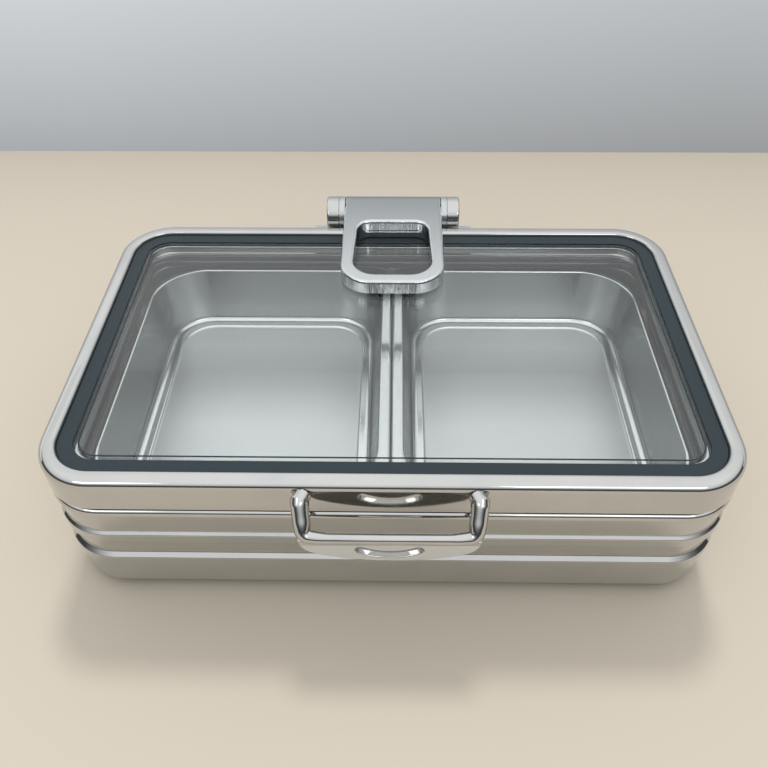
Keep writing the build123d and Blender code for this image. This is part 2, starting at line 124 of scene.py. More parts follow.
class WarmerBasinSizes(bpy.types.PropertyGroup):
    """Sizes of the water pan."""
    half_width: length("Half width", "Middle to the wall, left and right", 0.2835)
    half_depth: length("Half depth", "Middle to the wall, front and back", 0.176)
    corner: length("Corner", "Radius of the wall's corners in plan", 0.0475)
    floor: length("Floor", "Underside of the floor above the table", 0.004)
    floor_radius: length("Floor radius", "Rounding from the floor to the wall", 0.012)
    floor_margin: length("Floor margin", "Wall to the flat of the floor", 0.018)
    sheet: length("Sheet", "Thickness of the sheet steel", 0.0015)
    lower_bead: length("Lower bead", "Top of the lower bead above the table", 0.0554)
    upper_bead: length("Upper bead", "Top of the upper bead above the table", 0.0873)
    bead_height: length("Bead height", "Height of a bead", 0.015)
    bead_out: length("Bead depth", "How far a bead stands out of the wall", 0.0025)
    lower_slope: length("Lower bead slope", "Reach of the slope along the lower bead's top", 0.0039)
    upper_slope: length("Upper bead slope", "Reach of the slope along the upper bead's top", 0.0027)
    under_slope: length("Bead under-slope", "Reach of the slope along a bead's underside", 0.002)
    bead_edge: length("Bead edge", "Rounding of a bead's edge", 0.0016)
    rim_bottom: length("Rim bottom", "Root of the rolled rim's lower edge above the table", 0.1098)
    rim_under: length("Rim under-slope", "Rise of the rim's lower edge from its root", 0.0008)
    rim_top: length("Rim top", "Top of the rolled rim above the table", 0.1173)
    rim_out: length("Rim depth", "How far the rolled rim stands out of the wall", 0.0025)
    rim_in: length("Rim width", "How far the rolled rim reaches inside the wall", 0.0045)
    rim_rounding: length("Rim rounding", "Rounding of the rolled rim's outer edge", 0.0048)
    rim_root: length("Rim root", "Rounding between the wall and the rim's lower edge", 0.0004)
    rim_foot: length("Rim foot", "Rounding of the rim's lower outer edge", 0.0008)
    rim_inside: length("Rim inside", "Rounding of the rim's inner edge", 0.0014)
    deck: length("Deck", "Top of the deck above the table", 0.1135)
    deck_fold: length("Deck fold", "Rounding of the folds on both sides of the deck", 0.0012)
    deck_margin: length("Deck margin", "Flat of the deck beside each fold", 0.003)
    recess_half_width: length(
        "Recess half width", "Middle to the recess wall, left and right", 0.2661
    )
    recess_half_depth: length(
        "Recess half depth", "Middle to the recess wall, front and back", 0.1633
    )
    recess_corner: length("Recess corner", "Radius of the recess corners", 0.0168)
    ledge: length("Ledge", "Ledge that carries the pans, above the table", 0.104)
    ledge_width: length("Ledge width", "How far the ledge reaches in", 0.009)
    ledge_fold: length("Ledge fold", "Rounding from the recess wall to the ledge", 0.0008)


class WarmerPanSizes(bpy.types.PropertyGroup):
    """Sizes of one food pan."""
    offset: length("Offset", "Middle of the warmer to the middle of a pan", 0.1328)
    half_width: length("Half width", "Middle of a pan to its flange edge, left and right", 0.1325)
    half_depth: length("Half depth", "Middle of a pan to its flange edge, front and back", 0.1625)
    flange: length("Flange", "Width of the flat flange", 0.011)
    flange_corner: length("Flange corner", "Radius of the flange's corners", 0.016)
    mouth_corner: length("Mouth corner", "Radius of the opening's corners", 0.050)
    corner_shrink: share(
        "Corner shrink", "How much a corner's radius falls for each length further in", 0.75
    )
    rim: length("Rim", "Flange top above the table", 0.110)
    lip: length("Lip", "Height of the turned-down edge", 0.0057)
    height: length("Height", "Flange top to the underside of the floor", 0.065)
    draft: tilt("Draft", "How far each wall leans in on the outside", radians(4))
    inner_draft: tilt("Inner draft", "How far each wall leans in on the inside", radians(9))
    floor_radius: length("Floor radius", "Rounding from the wall to the underside", 0.015)
    ledge_radius: length(
        "Ledge radius", "Rounding from the wall to the ledge round the floor", 0.0068
    )
    ledge_reach: length("Ledge reach", "Foot of the wall to the step down to the floor", 0.0105)
    ledge_step: length("Ledge step", "Height of the step from the ledge to the floor", 0.0018)
    sheet: length("Sheet", "Thickness of the sheet steel", 0.001)
    mouth_rounding: length("Mouth rounding", "Rounding from the flange into the pan", 0.0025)
    lip_rounding: length("Lip rounding", "Rounding from the flange to its lip", 0.0032)
    cut_edge: length("Cut edge", "Rounding of the sheet's cut edges", 0.0003)
    fold: length("Fold", "Rounding inside the flange's folds", 0.0008)
    floor_margin: length("Floor margin", "Step to the flat of the floor", 0.004)
    under_margin: length("Underside margin", "Wall to the flat of the underside", 0.018)


class WarmerHingeSizes(bpy.types.PropertyGroup):
    """Sizes of the hinge arm, its window, its barrel and the end caps."""
    half_width: length("Half width", "Middle to the arm's side", 0.052)
    front: length("Front", "Front end of the arm", 0.062)
    front_corner: length("Front corner", "Radius of the arm's front corners in plan", 0.030)
    edge: length("Edge", "Rounding of the arm's upper edge", 0.0034)
    underside: length("Underside", "Arm's underside over the glass, above the table", 0.1502)
    seat: length("Seat", "Where the arm begins to lie on the frame", 0.1625)
    seat_height: length("Seat height", "Frame's crest above the table", 0.1536)
    slope: tilt("Slope", "Fall of the arm's top to the front", radians(3.3))
    under_edge: length("Under edge", "Chamfer of the arm's lower edges", 0.0008)
    ground_from: length("Ground from", "Height from which the arm's top is ground", 0.1556)
    window_front: length("Window front", "Front end of the window", 0.0755)
    window_rear: length("Window rear", "Rear end of the window", 0.1602)
    window_front_half: length("Window front half", "Half the window's width at the front", 0.039)
    window_rear_half: length("Window rear half", "Half the window's width at the rear", 0.037)
    window_front_corner: length(
        "Window front corner", "Radius of the window's front corners", 0.022
    )
    window_rear_corner: length("Window rear corner", "Radius of the window's rear corners", 0.014)
    window_edge: length("Window edge", "Rounding of the window's upper edge", 0.0034)
    axis_y: length("Axis place", "Hinge axis, front to back", 0.200)
    axis_z: length("Axis height", "Hinge axis above the table", 0.154)
    barrel: length("Barrel radius", "Radius of the barrel and the caps", 0.019)
    barrel_wall: length("Barrel wall", "Wall of the barrel round the dampers", 0.0058)
    barrel_edge: length("Barrel edge", "Chamfer of the barrel's ends", 0.0008)
    bite: length("Bite", "How far the arm reaches into the barrel", 0.001)
    cap_near: length("Cap start", "Middle to the inner end of a cap", 0.0587)
    cap_far: length("Cap end", "Middle to the outer end of a cap", 0.0724)
    cap_edge: length("Cap edge", "Rounding of a cap's outer edge", 0.0024)
    cap_joint: length("Cap joint", "Rounding of a cap's inner edge", 0.001)


class WarmerHandleSizes(bpy.types.PropertyGroup):
    """Sizes of the lid's handle."""
    root_x: length("Root place", "Middle to a stub's root on the skirt", 0.067)
    root_y: length("Root depth", "Skirt that the stubs stand on, front to back", -0.1785)
    root_z: length("Root height", "Stubs above the table", 0.142)
    root_radius: length("Root radius", "Radius of a stub", 0.0068)
    root_bite: length("Root bite", "How far a stub reaches into the skirt", 0.0004)
    elbow_x: length("Elbow place", "Middle to an elbow", 0.0697)
    elbow_out: length("Elbow reach", "Elbow in front of the skirt", 0.0052)
    leg_radius: length("Leg radius", "Half the width of a sloping leg", 0.0075)
    neck: length("Neck", "Length over which a stub widens into its leg", 0.0012)
    foot_share: share("Foot share", "Width of a leg at its foot, as a share of the leg", 0.95)
    taper_before: length("Taper start", "Foot back to where a leg begins to narrow", 0.012)
    taper_after: length("Taper end", "Foot on to where the bar's width is reached", 0.010)
    turn_before: length("Turn start", "Foot back to where the tube begins to turn upright", 0.004)
    turn_after: length("Turn end", "Foot on to where the tube is upright", 0.02)
    foot_set_back: length("Foot set-back", "Foot of a leg behind the middle of the grip", 0.0022)
    foot_bend: length("Foot bend", "Bend of the tube from a leg into the bar", 0.0058)
    foot_x: length("Foot place", "Middle to the foot of a leg", 0.0668)
    grip_y: length("Grip place", "Middle of the grip, front to back", -0.204)
    bar_z: length("Bar height", "Middle of the grip's rounded bar above the table", 0.121)
    bar_middle: length("Bar middle", "Half the bar's height at its middle", 0.0040)
    bar_end: length("Bar end", "Half the bar's height at its ends", 0.0050)
    bar_lead: length("Bar lead", "Foot to where the bar runs straight", 0.018)
    bar_set_back: length("Bar set-back", "Ends of the straight bar behind its middle", 0.0003)
    bar_bend: length("Bar bend", "Bend at each end of the straight bar", 0.03)
    grip_thickness: length("Grip thickness", "Thickness of the grip plate", 0.0056)
    plate_half: length("Plate half length", "Middle to the end of the grip plate", 0.0708)
    plate_end: length(
        "Plate end", "Lower corners of the grip plate above the table, before rounding", 0.1087
    )
    plate_bottom: length("Plate bottom", "Lowest point of the grip plate above the table", 0.0949)
    plate_corner: length("Plate corner", "Rounding of the plate's lower corners", 0.017)
    slot_half: length("Slot half length", "Middle to the end of the slot's middle line", 0.0224)
    slot_end: length("Slot end", "Ends of the slot's middle line above the table", 0.1095)
    slot_sag: length("Slot sag", "How far the slot's middle hangs below its ends", 0.0055)
    slot_height: length("Slot height", "Height of the curved slot", 0.0082)
    edge: length("Edge", "Rounding of the plate's edges", 0.0011)


class WarmerFastenerSizes(bpy.types.PropertyGroup):
    """Sizes of the nuts, studs, screws, washers and pads."""
    stud_x: length("Stud place", "Middle to a stud, left and right", 0.062)
    stud_low: length("Lower studs", "Lower studs above the table", 0.0637)
    stud_high: length("Upper studs", "Upper studs above the table", 0.0987)
    stud_radius: length("Stud radius", "Radius of a weld stud", 0.003)
    stud_edge: length("Stud edge", "Chamfer of a stud's end", 0.0006)
    spacer_radius: length("Spacer radius", "Radius of a spacer", 0.006)
    spacer_clearance: length("Spacer clearance", "Play of a stud in its spacer", 0.0003)
    nut_across: length("Nut width", "Cap nut across its flats", 0.010)
    nut_height: length("Nut height", "Height of a nut's hexagon", 0.0055)
    nut_dome: length("Nut dome", "Radius of a nut's dome", 0.0046)
    nut_foot: length("Nut foot", "Chamfer of a nut's foot, in width", 0.0006)
    nut_rise: length("Nut rise", "Chamfer of a nut's foot, in height", 0.0004)
    nut_shoulder: length("Nut shoulder", "Height of a nut's chamfer below its dome", 0.0007)
    nut_collar: length(
        "Nut collar", "How much narrower than its flats a nut is at the dome", 0.0002
    )
    screw_radius: length("Screw radius", "Radius of a screw's shank", 0.002)
    screw_clearance: length("Screw clearance", "Play of a screw in its washer", 0.00025)
    tip: length("Tip", "Length of a screw's chamfered tip", 0.0005)
    tip_edge: length("Tip edge", "Chamfer of a screw's tip, in radius", 0.0004)
    head_radius: length("Head radius", "Radius of a screw's head", 0.0032)
    head_height: length("Head height", "Height of a screw's head", 0.0026)
    head_edge: length("Head edge", "Chamfer of a screw's head", 0.0003)
    key: length("Key", "Screw's hexagon socket across its flats", 0.0028)
    key_depth: length("Key depth", "Depth of a screw's socket", 0.00156)
    key_mouth: length("Key mouth", "Width of the socket's countersunk mouth", 0.0035)


class WarmerFinishes(bpy.types.PropertyGroup):
    """Colours and gloss of the materials."""
    mirror: colour(
        "Mirror steel", "Polished steel of pan, lid frame and handle", (0.585, 0.585, 0.575)
    )
    mirror_roughness: share("Mirror roughness", "Roughness of the polished steel", 0.045)
    satin: colour(
        "Satin steel", "Brushed steel of the bracket and the fasteners", (0.60, 0.62, 0.63)
    )
    # Painted light and shade: the arm's ground top is painted paler at the front and darker at the
    # rear.
    arm_front_painted_light: colour("Arm front", "Front of the hinge arm's ground top", (0.64, 0.66, 0.67))
    arm_rear_painted_shade: colour("Arm rear", "Rear of the hinge arm's ground top", (0.40, 0.415, 0.425))
    milled: colour("Milled steel", "Milled sides of the hinge arm", (0.72, 0.735, 0.74))
    satin_roughness: share("Satin roughness", "Roughness of the satin steel", 0.24)
    pan: colour("Pan floor", "Satin floor of the food pans", (0.82, 0.83, 0.83))
    # The next two are painted light and shade: the floors' rear is painted brighter and their
    # middle duller.
    pan_rear_painted_light: colour("Pan floor rear", "Rear end of the pans' floors", (0.97, 0.975, 0.975))
    pan_middle_painted_shade: colour(
        "Pan floor middle", "Duller middle of the pans' floors", (0.655, 0.665, 0.665)
    )
    pan_roughness: share("Pan floor roughness", "Roughness of the pans' floors", 0.46)
    ledge_roughness: share(
        "Pan ledge roughness", "Roughness of the ledges round the pans' floors", 0.20
    )
    # Painted shade: the walls are the pans' own steel painted darker.
    pan_wall_painted_shade: colour("Pan wall", "Drawn walls of the food pans", (0.365, 0.38, 0.38))
    wall_roughness: share("Pan wall roughness", "Roughness of the pans' walls", 0.22)
    pan_edge: colour(
        "Pan edge tint", "Tint of the pans' steel where it is seen edge-on", (0.45, 0.47, 0.48)
    )
    pan_flange: colour("Pan flange", "Polished flanges of the food pans", (0.72, 0.73, 0.73))
    flange_roughness: share("Pan flange roughness", "Roughness of the pans' flanges", 0.13)
    plate: colour("Plate steel", "Foot plate under the floor", (0.42, 0.42, 0.42))
    # Painted shade: the frame's and pan's insides are painted dark.
    inside: colour("Lid inside", "Unpolished inside of the lid frame", (0.22, 0.23, 0.235))
    # Painted shade: the grip's polished front is painted darker than the handle's steel.
    grip: colour("Grip front", "Polished front of the grip plate", (0.36, 0.355, 0.345))
    rubber: colour("Seal rubber", "Seal between frame and glass", (0.019, 0.031, 0.038))
    pad: colour("Pad rubber", "Soft pads under the hinge arm", (0.30, 0.30, 0.31))
    damper: colour("Damper case", "Damper cartridges in the barrel", (0.03, 0.03, 0.032))
    glass: colour("Glass", "Tint of the lid's glass", (0.96, 0.985, 0.98))
    glass_shade: colour(
        "Glass shade", "Light that the glass lets through to the pans", (0.90, 0.93, 0.92)
    )


class WarmerStageSizes(bpy.types.PropertyGroup):
    """Floor, backdrop, lights and camera."""
    floor: colour("Floor", "Pale floor", (0.53, 0.472, 0.392))
    wall: colour("Backdrop", "Paint of the backdrop", (0.10, 0.10, 0.10))
    # Painted light on the backdrop: its glow is darker at the foot and brighter upward.
    wall_low: colour("Backdrop foot", "Glow of the backdrop at the floor", (0.30, 0.315, 0.33))
    wall_middle: colour(
        "Backdrop middle", "Glow of the backdrop where the picture ends", (0.495, 0.52, 0.54)
    )
    wall_high: colour("Backdrop head", "Glow of the backdrop at its upper edge", (0.95, 0.97, 0.98))
    wall_middle_at: share(
        "Backdrop middle place", "Part of the height at which the middle glow lies", 0.29
    )
    wall_high_at: share(
        "Backdrop head place", "Part of the height at which the head's glow begins", 0.74
    )
    sky: colour("Sky", "Soft light from above", (0.80, 0.813, 0.813))
    high_sky: colour("High sky", "Stronger light from higher up", (0.96, 0.97, 0.97))
    dark: colour("Dark band", "Darker room round the floor's edge", (0.058, 0.063, 0.067))
    dusk: colour("Dusk", "Room between the dark band and the full sky", (0.217, 0.225, 0.233))
    strength: amount("Sky strength", "Strength of the room's light", 1.2)
    dark_to: tilt("Dark band to", "Elevation where the dark band ends", radians(11))
    dusk_at: tilt("Dusk at", "Elevation of the dusk", radians(18))
    sky_from: tilt("Sky from", "Elevation where the full sky begins", radians(30))
    sky_to: tilt("Sky to", "Elevation where the sky begins to brighten", radians(40))
    high_sky_from: tilt("High sky from", "Elevation where the high sky begins", radians(51))
    reach: length("Reach", "Middle to the edges of the floor and the backdrop", 4.0)
    wall_span: length("Backdrop span", "Middle to where the backdrop's side glow is reached", 0.5)
    # Painted light on the backdrop: its glow is stronger on the left than on the right.
    wall_left: amount("Backdrop left", "Strength of the backdrop's glow on the left", 1.10)
    wall_right: amount("Backdrop right", "Strength of the backdrop's glow on the right", 0.86)
    wall_y: length("Backdrop place", "Backdrop behind the warmer's middle", 0.632)
    wall_height: length("Backdrop height", "Height of the backdrop", 0.8)
    camera: FloatVectorProperty(
        name="Camera", description="Where the camera stands", default=(0.0032, -0.53942, 0.62098),
        unit="LENGTH"
    )
    yaw: tilt("Yaw", "Camera turned to the right", -0.01972)
    pitch: tilt("Pitch", "Camera turned down", 0.78062)
    roll: tilt("Roll", "Camera rolled", -0.00725)
    lens: FloatProperty(
        name="Lens", description="Focal length for a 36 mm frame", default=36.05, unit="CAMERA"
    )
    key: amount("Key light", "Strength of the light from behind and above", 1.30)
    key_tone: colour("Key tone", "Colour of the key light", (1.0, 0.985, 0.96))
    key_lean: tilt("Key lean", "Lean of the key light from straight down", radians(28))
    key_turn: tilt("Key turn", "Sideways turn of the key light", radians(2))
    key_angle: tilt("Key softness", "Angle that the key light fills", radians(10))
    panel: amount("Panels", "Power of the ceiling panels in front, for each area", 9.0)


# Fineness of the meshes

CORNER_STEPS = 20  # Faces round a corner of the pans and the lid, in plan
WALL_STEPS = 5  # Faces across a rounded edge of the water pan's wall
RECESS_STEPS = 4  # Faces across a rounded edge of its recess
PAN_STEPS = 8  # Faces across a rounded edge of a food pan
FRAME_STEPS = 7  # Faces across a rounded edge of the lid frame
SEAL_STEPS = 4  # Faces across a rounded edge of the seal
ARM_STEPS = 16  # Faces round a front corner of the hinge arm
WINDOW_STEPS = 12  # Faces round a corner of the arm's window
EDGE_STEPS = 7  # Faces across a rounded edge of the arm
BARREL_STEPS = 96  # Faces round the hinge barrel
CAP_STEPS = 72  # Faces round an end cap
CAP_EDGE_STEPS = 7  # Faces across a rounded edge of an end cap
TUBE_STEPS = 36  # Faces round the handle's tube
TUBE_SPACING = 0.0018  # Length of a face along the handle's tube
BEND_STEPS = 10  # Faces along a bend of the tube
PLATE_STEPS = 30  # Faces along half the grip plate's lower edge
PLATE_CORNER_STEPS = 10  # Faces round a lower corner of the grip plate
SLOT_STEPS = 16  # Faces along half the grip's slot
SLOT_END_STEPS = 8  # Faces round an end of the slot
BEVEL_STEPS = 4  # Faces across a rounded edge of the grip plate
FASTENER_STEPS = 36  # Faces round a screw, nut or washer
STUD_STEPS = 24  # Faces round a weld stud
DOME_STEPS = 9  # Faces up the dome of a cap nut

MERGE = 1e-6  # Points closer than this are one point
HAIR = 0.0001  # Smallest gap between two points of an outline
FLAT = 0.99  # Part of a normal along an axis from which a face counts as square to it
ARM_TOP = 0.93  # Upward part of a normal from which the arm's face is ground
BARREL_TOP = 0.35  # The same on the barrel
UNDERSIDE = -0.5  # Upward part of a normal below which the lid frame's face points down
WASHER_EDGE = 0.15  # Chamfer of a washer's or spacer's edges, as a share of its thickness
SHARP_SHEET = 38.0  # Edges of sheet metal sharper than this, in degrees, stay sharp
SHARP_FASTENER = 32.0
SHARP_ARM = 50.0
SHARP_HANDLE = 40.0
EVEN_WEIGHT = 80  # How much large faces rule the shading of small ones beside them


# Shapes


def rounded(points, radii, steps):
    """Points of a closed section with rounded corners, one radius for each point, 0 for sharp."""
    out = []
    count = len(points)
    for index, (point, radius) in enumerate(zip(points, radii)):
        here = Vector(point)
        if radius <= 0:
            out.append(here)
            continue
        before = (Vector(points[index - 1]) - here).normalized()
        after = (Vector(points[(index + 1) % count]) - here).normalized()
        half = before.angle(after) / 2
        reach = radius / tan(half)
        start, end = here + before * reach, here + after * reach
        centre = here + (before + after).normalized() * (radius / sin(half))
        first = atan2(start.y - centre.y, start.x - centre.x)
        turn = atan2(end.y - centre.y, end.x - centre.x) - first
        turn = (turn + pi) % (2 * pi) - pi
        for step in range(steps + 1):
            angle = first + turn * step / steps
            out.append(centre + Vector((cos(angle), sin(angle))) * radius)
    return out


def circle(radius, steps):
    """Points of a circle round the origin."""
    angles = [2 * pi * step / steps for step in range(steps)]
    return [(radius * cos(angle), radius * sin(angle)) for angle in angles]


def quarter(x, y, radius, start, steps):
    """Points of a quarter circle, counter-clockwise from a start angle in degrees."""
    angles = [radians(start + 90 * step / steps) for step in range(steps + 1)]
    return [(x + radius * cos(angle), y + radius * sin(angle)) for angle in angles]


def plan_loop(half_width, half_depth, corner, height, centre_x=0.0):
    """One level of a rounded-rectangle shell, counter-clockwise from above."""
    x, y = half_width - corner, half_depth - corner
    loop = []
    for corner_x, corner_y, start in ((x, y, 0), (-x, y, 90), (-x, -y, 180), (x, -y, 270)):
        loop += quarter(corner_x, corner_y, corner, start, CORNER_STEPS)
    return [Vector((centre_x + x, y, height)) for x, y in loop]


def levels(section, half_width, half_depth, corner):
    """Plan loops of a shell whose wall follows a section of (outward, height) points."""
    return [
        plan_loop(half_width + out, half_depth + out, corner + out, height)
        for out, height in section
    ]


def depth_inside(point, half_width, half_depth, corner):
    """How far a point lies inside a rounded rectangle, seen from above."""
    over_x = max(abs(point.x) - half_width + corner, 0.0)
    over_y = max(abs(point.y) - half_depth + corner, 0.0)
    if over_x or over_y:
        return corner - sqrt(over_x ** 2 + over_y ** 2)
    return min(half_width - abs(point.x), half_depth - abs(point.y))


def tidy_shell(shell):
    """Join a mesh's doubled points and turn its faces outward."""
    bmesh.ops.remove_doubles(shell, verts=shell.verts, dist=MERGE)
    bmesh.ops.recalc_face_normals(shell, faces=shell.faces)


def wall_of_loops(shell, loops):
    """Quads between loops of equal length in a mesh; gives back the rings of points."""
    rings = [[shell.verts.new(point) for point in loop] for loop in loops]
    for lower, upper in zip(rings, rings[1:]):
        for index in range(len(lower)):
            after = (index + 1) % len(lower)
            shell.faces.new((lower[index], lower[after], upper[after], upper[index]))
    return rings


def ring_edges(shell, ring):
    """Edges round a ring of points."""
    return [shell.edges.get((ring[index - 1], ring[index])) for index in range(len(ring))]


def ring_shell(loops, closed=True):
    """A mesh of quads from loops of equal length, its ends closed on request."""
    shell = bmesh.new()
    rings = wall_of_loops(shell, loops)
    if closed:
        shell.faces.new(rings[0])
        shell.faces.new(rings[-1])
    tidy_shell(shell)
    return shell


def turned(profile, steps):
    """A mesh turned about Z from (radius, height) points; its ends are closed."""
    return ring_shell([
        [Vector((x, y, height)) for x, y in circle(radius, steps)] for radius, height in profile
    ])


def mesh_of(name, shell):
    """A plain mesh from a mesh under construction."""
    mesh = bpy.data.meshes.new(name)
    shell.to_mesh(mesh)
    shell.free()
    return mesh


def add_object(name, data):
    """A new object in the scene."""
    item = bpy.data.objects.new(name, data)
    bpy.context.scene.collection.objects.link(item)
    return item


def closed_line(curve, points):
    """Add a closed run of straight lines through (x, y) points to a curve."""
    line = curve.splines.new("POLY")
    line.points.add(len(points) - 1)
    for spot, (x, y) in zip(line.points, points):
        spot.co = (x, y, 0.0, 1.0)
    line.use_cyclic_u = True


# Pieces in general


def new_piece(name, mesh, material, sharp=SHARP_SHEET):
    """An object from a mesh, smooth except at its sharp edges, with even shading on flats."""
    mesh.name = name
    mesh.polygons.foreach_set("use_smooth", [True] * len(mesh.polygons))
    mesh.set_sharp_from_angle(angle=radians(sharp))
    mesh.materials.clear()
    mesh.materials.append(material)
    piece = add_object(name, mesh)
    even = piece.modifiers.new("Even shading", "WEIGHTED_NORMAL")
    even.keep_sharp = True
    even.weight = EVEN_WEIGHT
    return piece


def recoat(piece, material, chosen):
    """Give the faces that a test picks another material."""
    piece.data.materials.append(material)
    index = len(piece.data.materials) - 1
    for face in piece.data.polygons:
        if chosen(face):
            face.material_index = index


def settle(piece, body, slot, *nodes):
    """Let a finished piece ride on its body and stand for the solids that it dresses."""
    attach(piece, body)
    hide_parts(*nodes)


def smooth_copy(node, material):
    """A copy of a solid's mesh, joined up and shaded smooth."""
    shell = bmesh.new()
    shell.from_mesh(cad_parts[node].data)
    bmesh.ops.remove_doubles(shell, verts=shell.verts, dist=MERGE)
    name = node + "_finish"
    return new_piece(name, mesh_of(name, shell), material, SHARP_FASTENER)


def dress(node, material):
    """Give a solid that shows as it is its material."""
    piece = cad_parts[node]
    piece.data.materials.clear()
    piece.data.materials.append(material)


# Node trees in general


def add_node(tree, kind, values=None, **settings):
    """A node with these settings and these values on its inputs."""
    node = tree.nodes.new(kind)
    for name, value in settings.items():
        setattr(node, name, value)
    for name, value in (values or {}).items():
        node.inputs[name].default_value = value
    return node


def wire(tree, *pairs):
    """Link each pair of an output and an input."""
    for start, end in pairs:
        tree.links.new(start, end)


def add_sockets(tree, direction, sockets):
    """Give a tree's interface these named sockets, each with its kind and, on request, a value."""
    for name, kind, *value in sockets:
        made = tree.interface.new_socket(name, in_out=direction, socket_type="NodeSocket" + kind)
        if value:
            made.default_value = value[0]


# Geometry Nodes


def geometry_tree(name, inputs):
    """A new tree with named inputs, and the outputs of its entry."""
    tree = bpy.data.node_groups.new(name, "GeometryNodeTree")
    add_sockets(tree, "INPUT", inputs)
    add_sockets(tree, "OUTPUT", (("Geometry", "Geometry"),))
    return tree, tree.nodes.new("NodeGroupInput").outputs


def close_tree(tree, entry, shape):
    """End a tree in real faces that carry the material."""
    real = tree.nodes.new("GeometryNodeRealizeInstances")
    paint = tree.nodes.new("GeometryNodeSetMaterial")
    leave = tree.nodes.new("NodeGroupOutput")
    wire(
        tree,
        (shape, real.inputs[0]),
        (real.outputs[0], paint.inputs["Geometry"]),
        (entry["Material"], paint.inputs["Material"]),
        (paint.outputs[0], leave.inputs[0]),
    )


def section_sweep_tree():
    """Tree that carries a closed section round a rounded rectangle, as rolled frames are made."""
    name = "Section Sweep"
    if name in bpy.data.node_groups:
        return bpy.data.node_groups[name]
    tree, entry = geometry_tree(name, (
        ("Section", "Object"), ("Width", "Float"), ("Depth", "Float"), ("Corner", "Float"),
        ("Corner Steps", "Int"), ("Material", "Material"),
    ))
    outline = add_node(tree, "GeometryNodeCurvePrimitiveQuadrilateral")
    bend = add_node(tree, "GeometryNodeFilletCurve", mode="POLY")
    upright = add_node(tree, "GeometryNodeSetCurveNormal", mode="Z_UP")
    section = add_node(tree, "GeometryNodeObjectInfo")
    sweep = add_node(tree, "GeometryNodeCurveToMesh")
    wire(
        tree,
        (entry["Width"], outline.inputs["Width"]),
        (entry["Depth"], outline.inputs["Height"]),
        (outline.outputs[0], bend.inputs["Curve"]),
        (entry["Corner"], bend.inputs["Radius"]),
        (entry["Corner Steps"], bend.inputs["Count"]),
        (bend.outputs[0], upright.inputs["Curve"]),
        (upright.outputs[0], sweep.inputs["Curve"]),
        (entry["Section"], section.inputs["Object"]),
        (section.outputs["Geometry"], sweep.inputs["Profile Curve"]),
    )
    close_tree(tree, entry, sweep.outputs[0])
    return tree


def fastener_tree():
    """Tree that sets one fastener on each point of the mesh that it works on."""
    name = "Fastener Set"
    if name in bpy.data.node_groups:
        return bpy.data.node_groups[name]
    tree, entry = geometry_tree(name, (
        ("Places", "Geometry"), ("Fastener", "Object"), ("Scale", "Float", 1.0),
        ("Material", "Material"),
    ))
    shape = add_node(tree, "GeometryNodeObjectInfo")
    place = add_node(tree, "GeometryNodeInstanceOnPoints")
    wire(
        tree,
        (entry["Places"], place.inputs["Points"]),
        (entry["Fastener"], shape.inputs["Object"]),
        (shape.outputs["Geometry"], place.inputs["Instance"]),
        (entry["Scale"], place.inputs["Scale"]),
    )
    close_tree(tree, entry, place.outputs[0])
    return tree


def run_tree(tree, host_mesh, values):
    """The plain mesh that a tree makes with these named inputs."""
    host = add_object("tree_host", host_mesh)
    modifier = host.modifiers.new("Tree", "NODES")
    modifier.node_group = tree
    for item in tree.interface.items_tree:
        if item.in_out == "INPUT" and item.name in values:
            modifier[item.identifier] = values[item.name]
    bpy.context.view_layer.update()
    evaluated = host.evaluated_get(bpy.context.evaluated_depsgraph_get())
    mesh = bpy.data.meshes.new_from_object(evaluated)
    host.modifiers.remove(modifier)
    bpy.data.objects.remove(host)
    if not mesh.polygons:
        raise RuntimeError(f"the tree {tree.name} made no faces")
    return mesh


def swept(name, section, size, material):
    """A piece made by carrying a closed section of (outward, height) points round the lid."""
    curve = bpy.data.curves.new(name + "_section", "CURVE")
    curve.dimensions = "3D"
    closed_line(curve, [(outward, -height) for outward, height in section])
    guide = add_object(name + "_section", curve)
    mesh = run_tree(section_sweep_tree(), bpy.data.meshes.new(name), {
        "Section": guide,
        "Width": 2 * size.half_width,
        "Depth": 2 * size.half_depth,
        "Corner": size.corner,
        "Corner Steps": CORNER_STEPS,
        "Material": material,
    })
    bpy.data.objects.remove(guide)
    shell = bmesh.new()
    shell.from_mesh(mesh)
    tidy_shell(shell)
    return new_piece(name, mesh_of(name, shell), material)


def fastened(name, shape, places, material):
    """Like fasteners at several places, from the mesh of one that stands at the origin."""
    one = add_object(name + "_one", mesh_of(name + "_one", shape))
    points = bpy.data.meshes.new(name + "_places")
    points.from_pydata(places, [], [])
    values = {"Fastener": one, "Scale": 1.0, "Material": material}
    mesh = run_tree(fastener_tree(), points, values)
    bpy.data.objects.remove(one)
    return new_piece(name, mesh, material, SHARP_FASTENER)


# Materials


EVEN = (1.0, 1.0, 1.0)  # Stretch of a grain without a direction
UPRIGHT_LINES = (1.0, 1.0, 0.02)
UPRIGHT_GRAIN = (1.0, 1.0, 0.05)
LENGTHWISE_GRAIN = (0.03, 1.0, 1.0)
PLATE_GRAIN = (0.02, 1.0, 1.0)
PAN_GRAIN = {"Stretch": (0.05, 1.0, 0.05), "Spread": 0.10, "Clouds": 10.0}
PAN_RELIEF = (0.03, 0.0003)
ARM_GRAIN = {"Stretch": (1.0, 0.04, 0.04)}
ARM_RELIEF = (0.04, 0.0003)
LINE_STRETCH = (0.02, 0.02, 1.0)  # Polishing lines run round the sheet
LINE_GLOSS = 0.012  # How much the polishing lines change the gloss
HAZE_RANGE = (0.42, 0.78)  # Part of the noise that shows as wiping haze
HAZE_TINT = (0.90, 0.91, 0.92)
GRAIN_SHARE, CLOUD_SHARE = 0.6, 0.4  # Parts of lines and clouds in a grain
GRAIN_TINT = (0.86, 0.87, 0.88)
WIPING_SCALE = 11.0  # Wiping marks on the glass
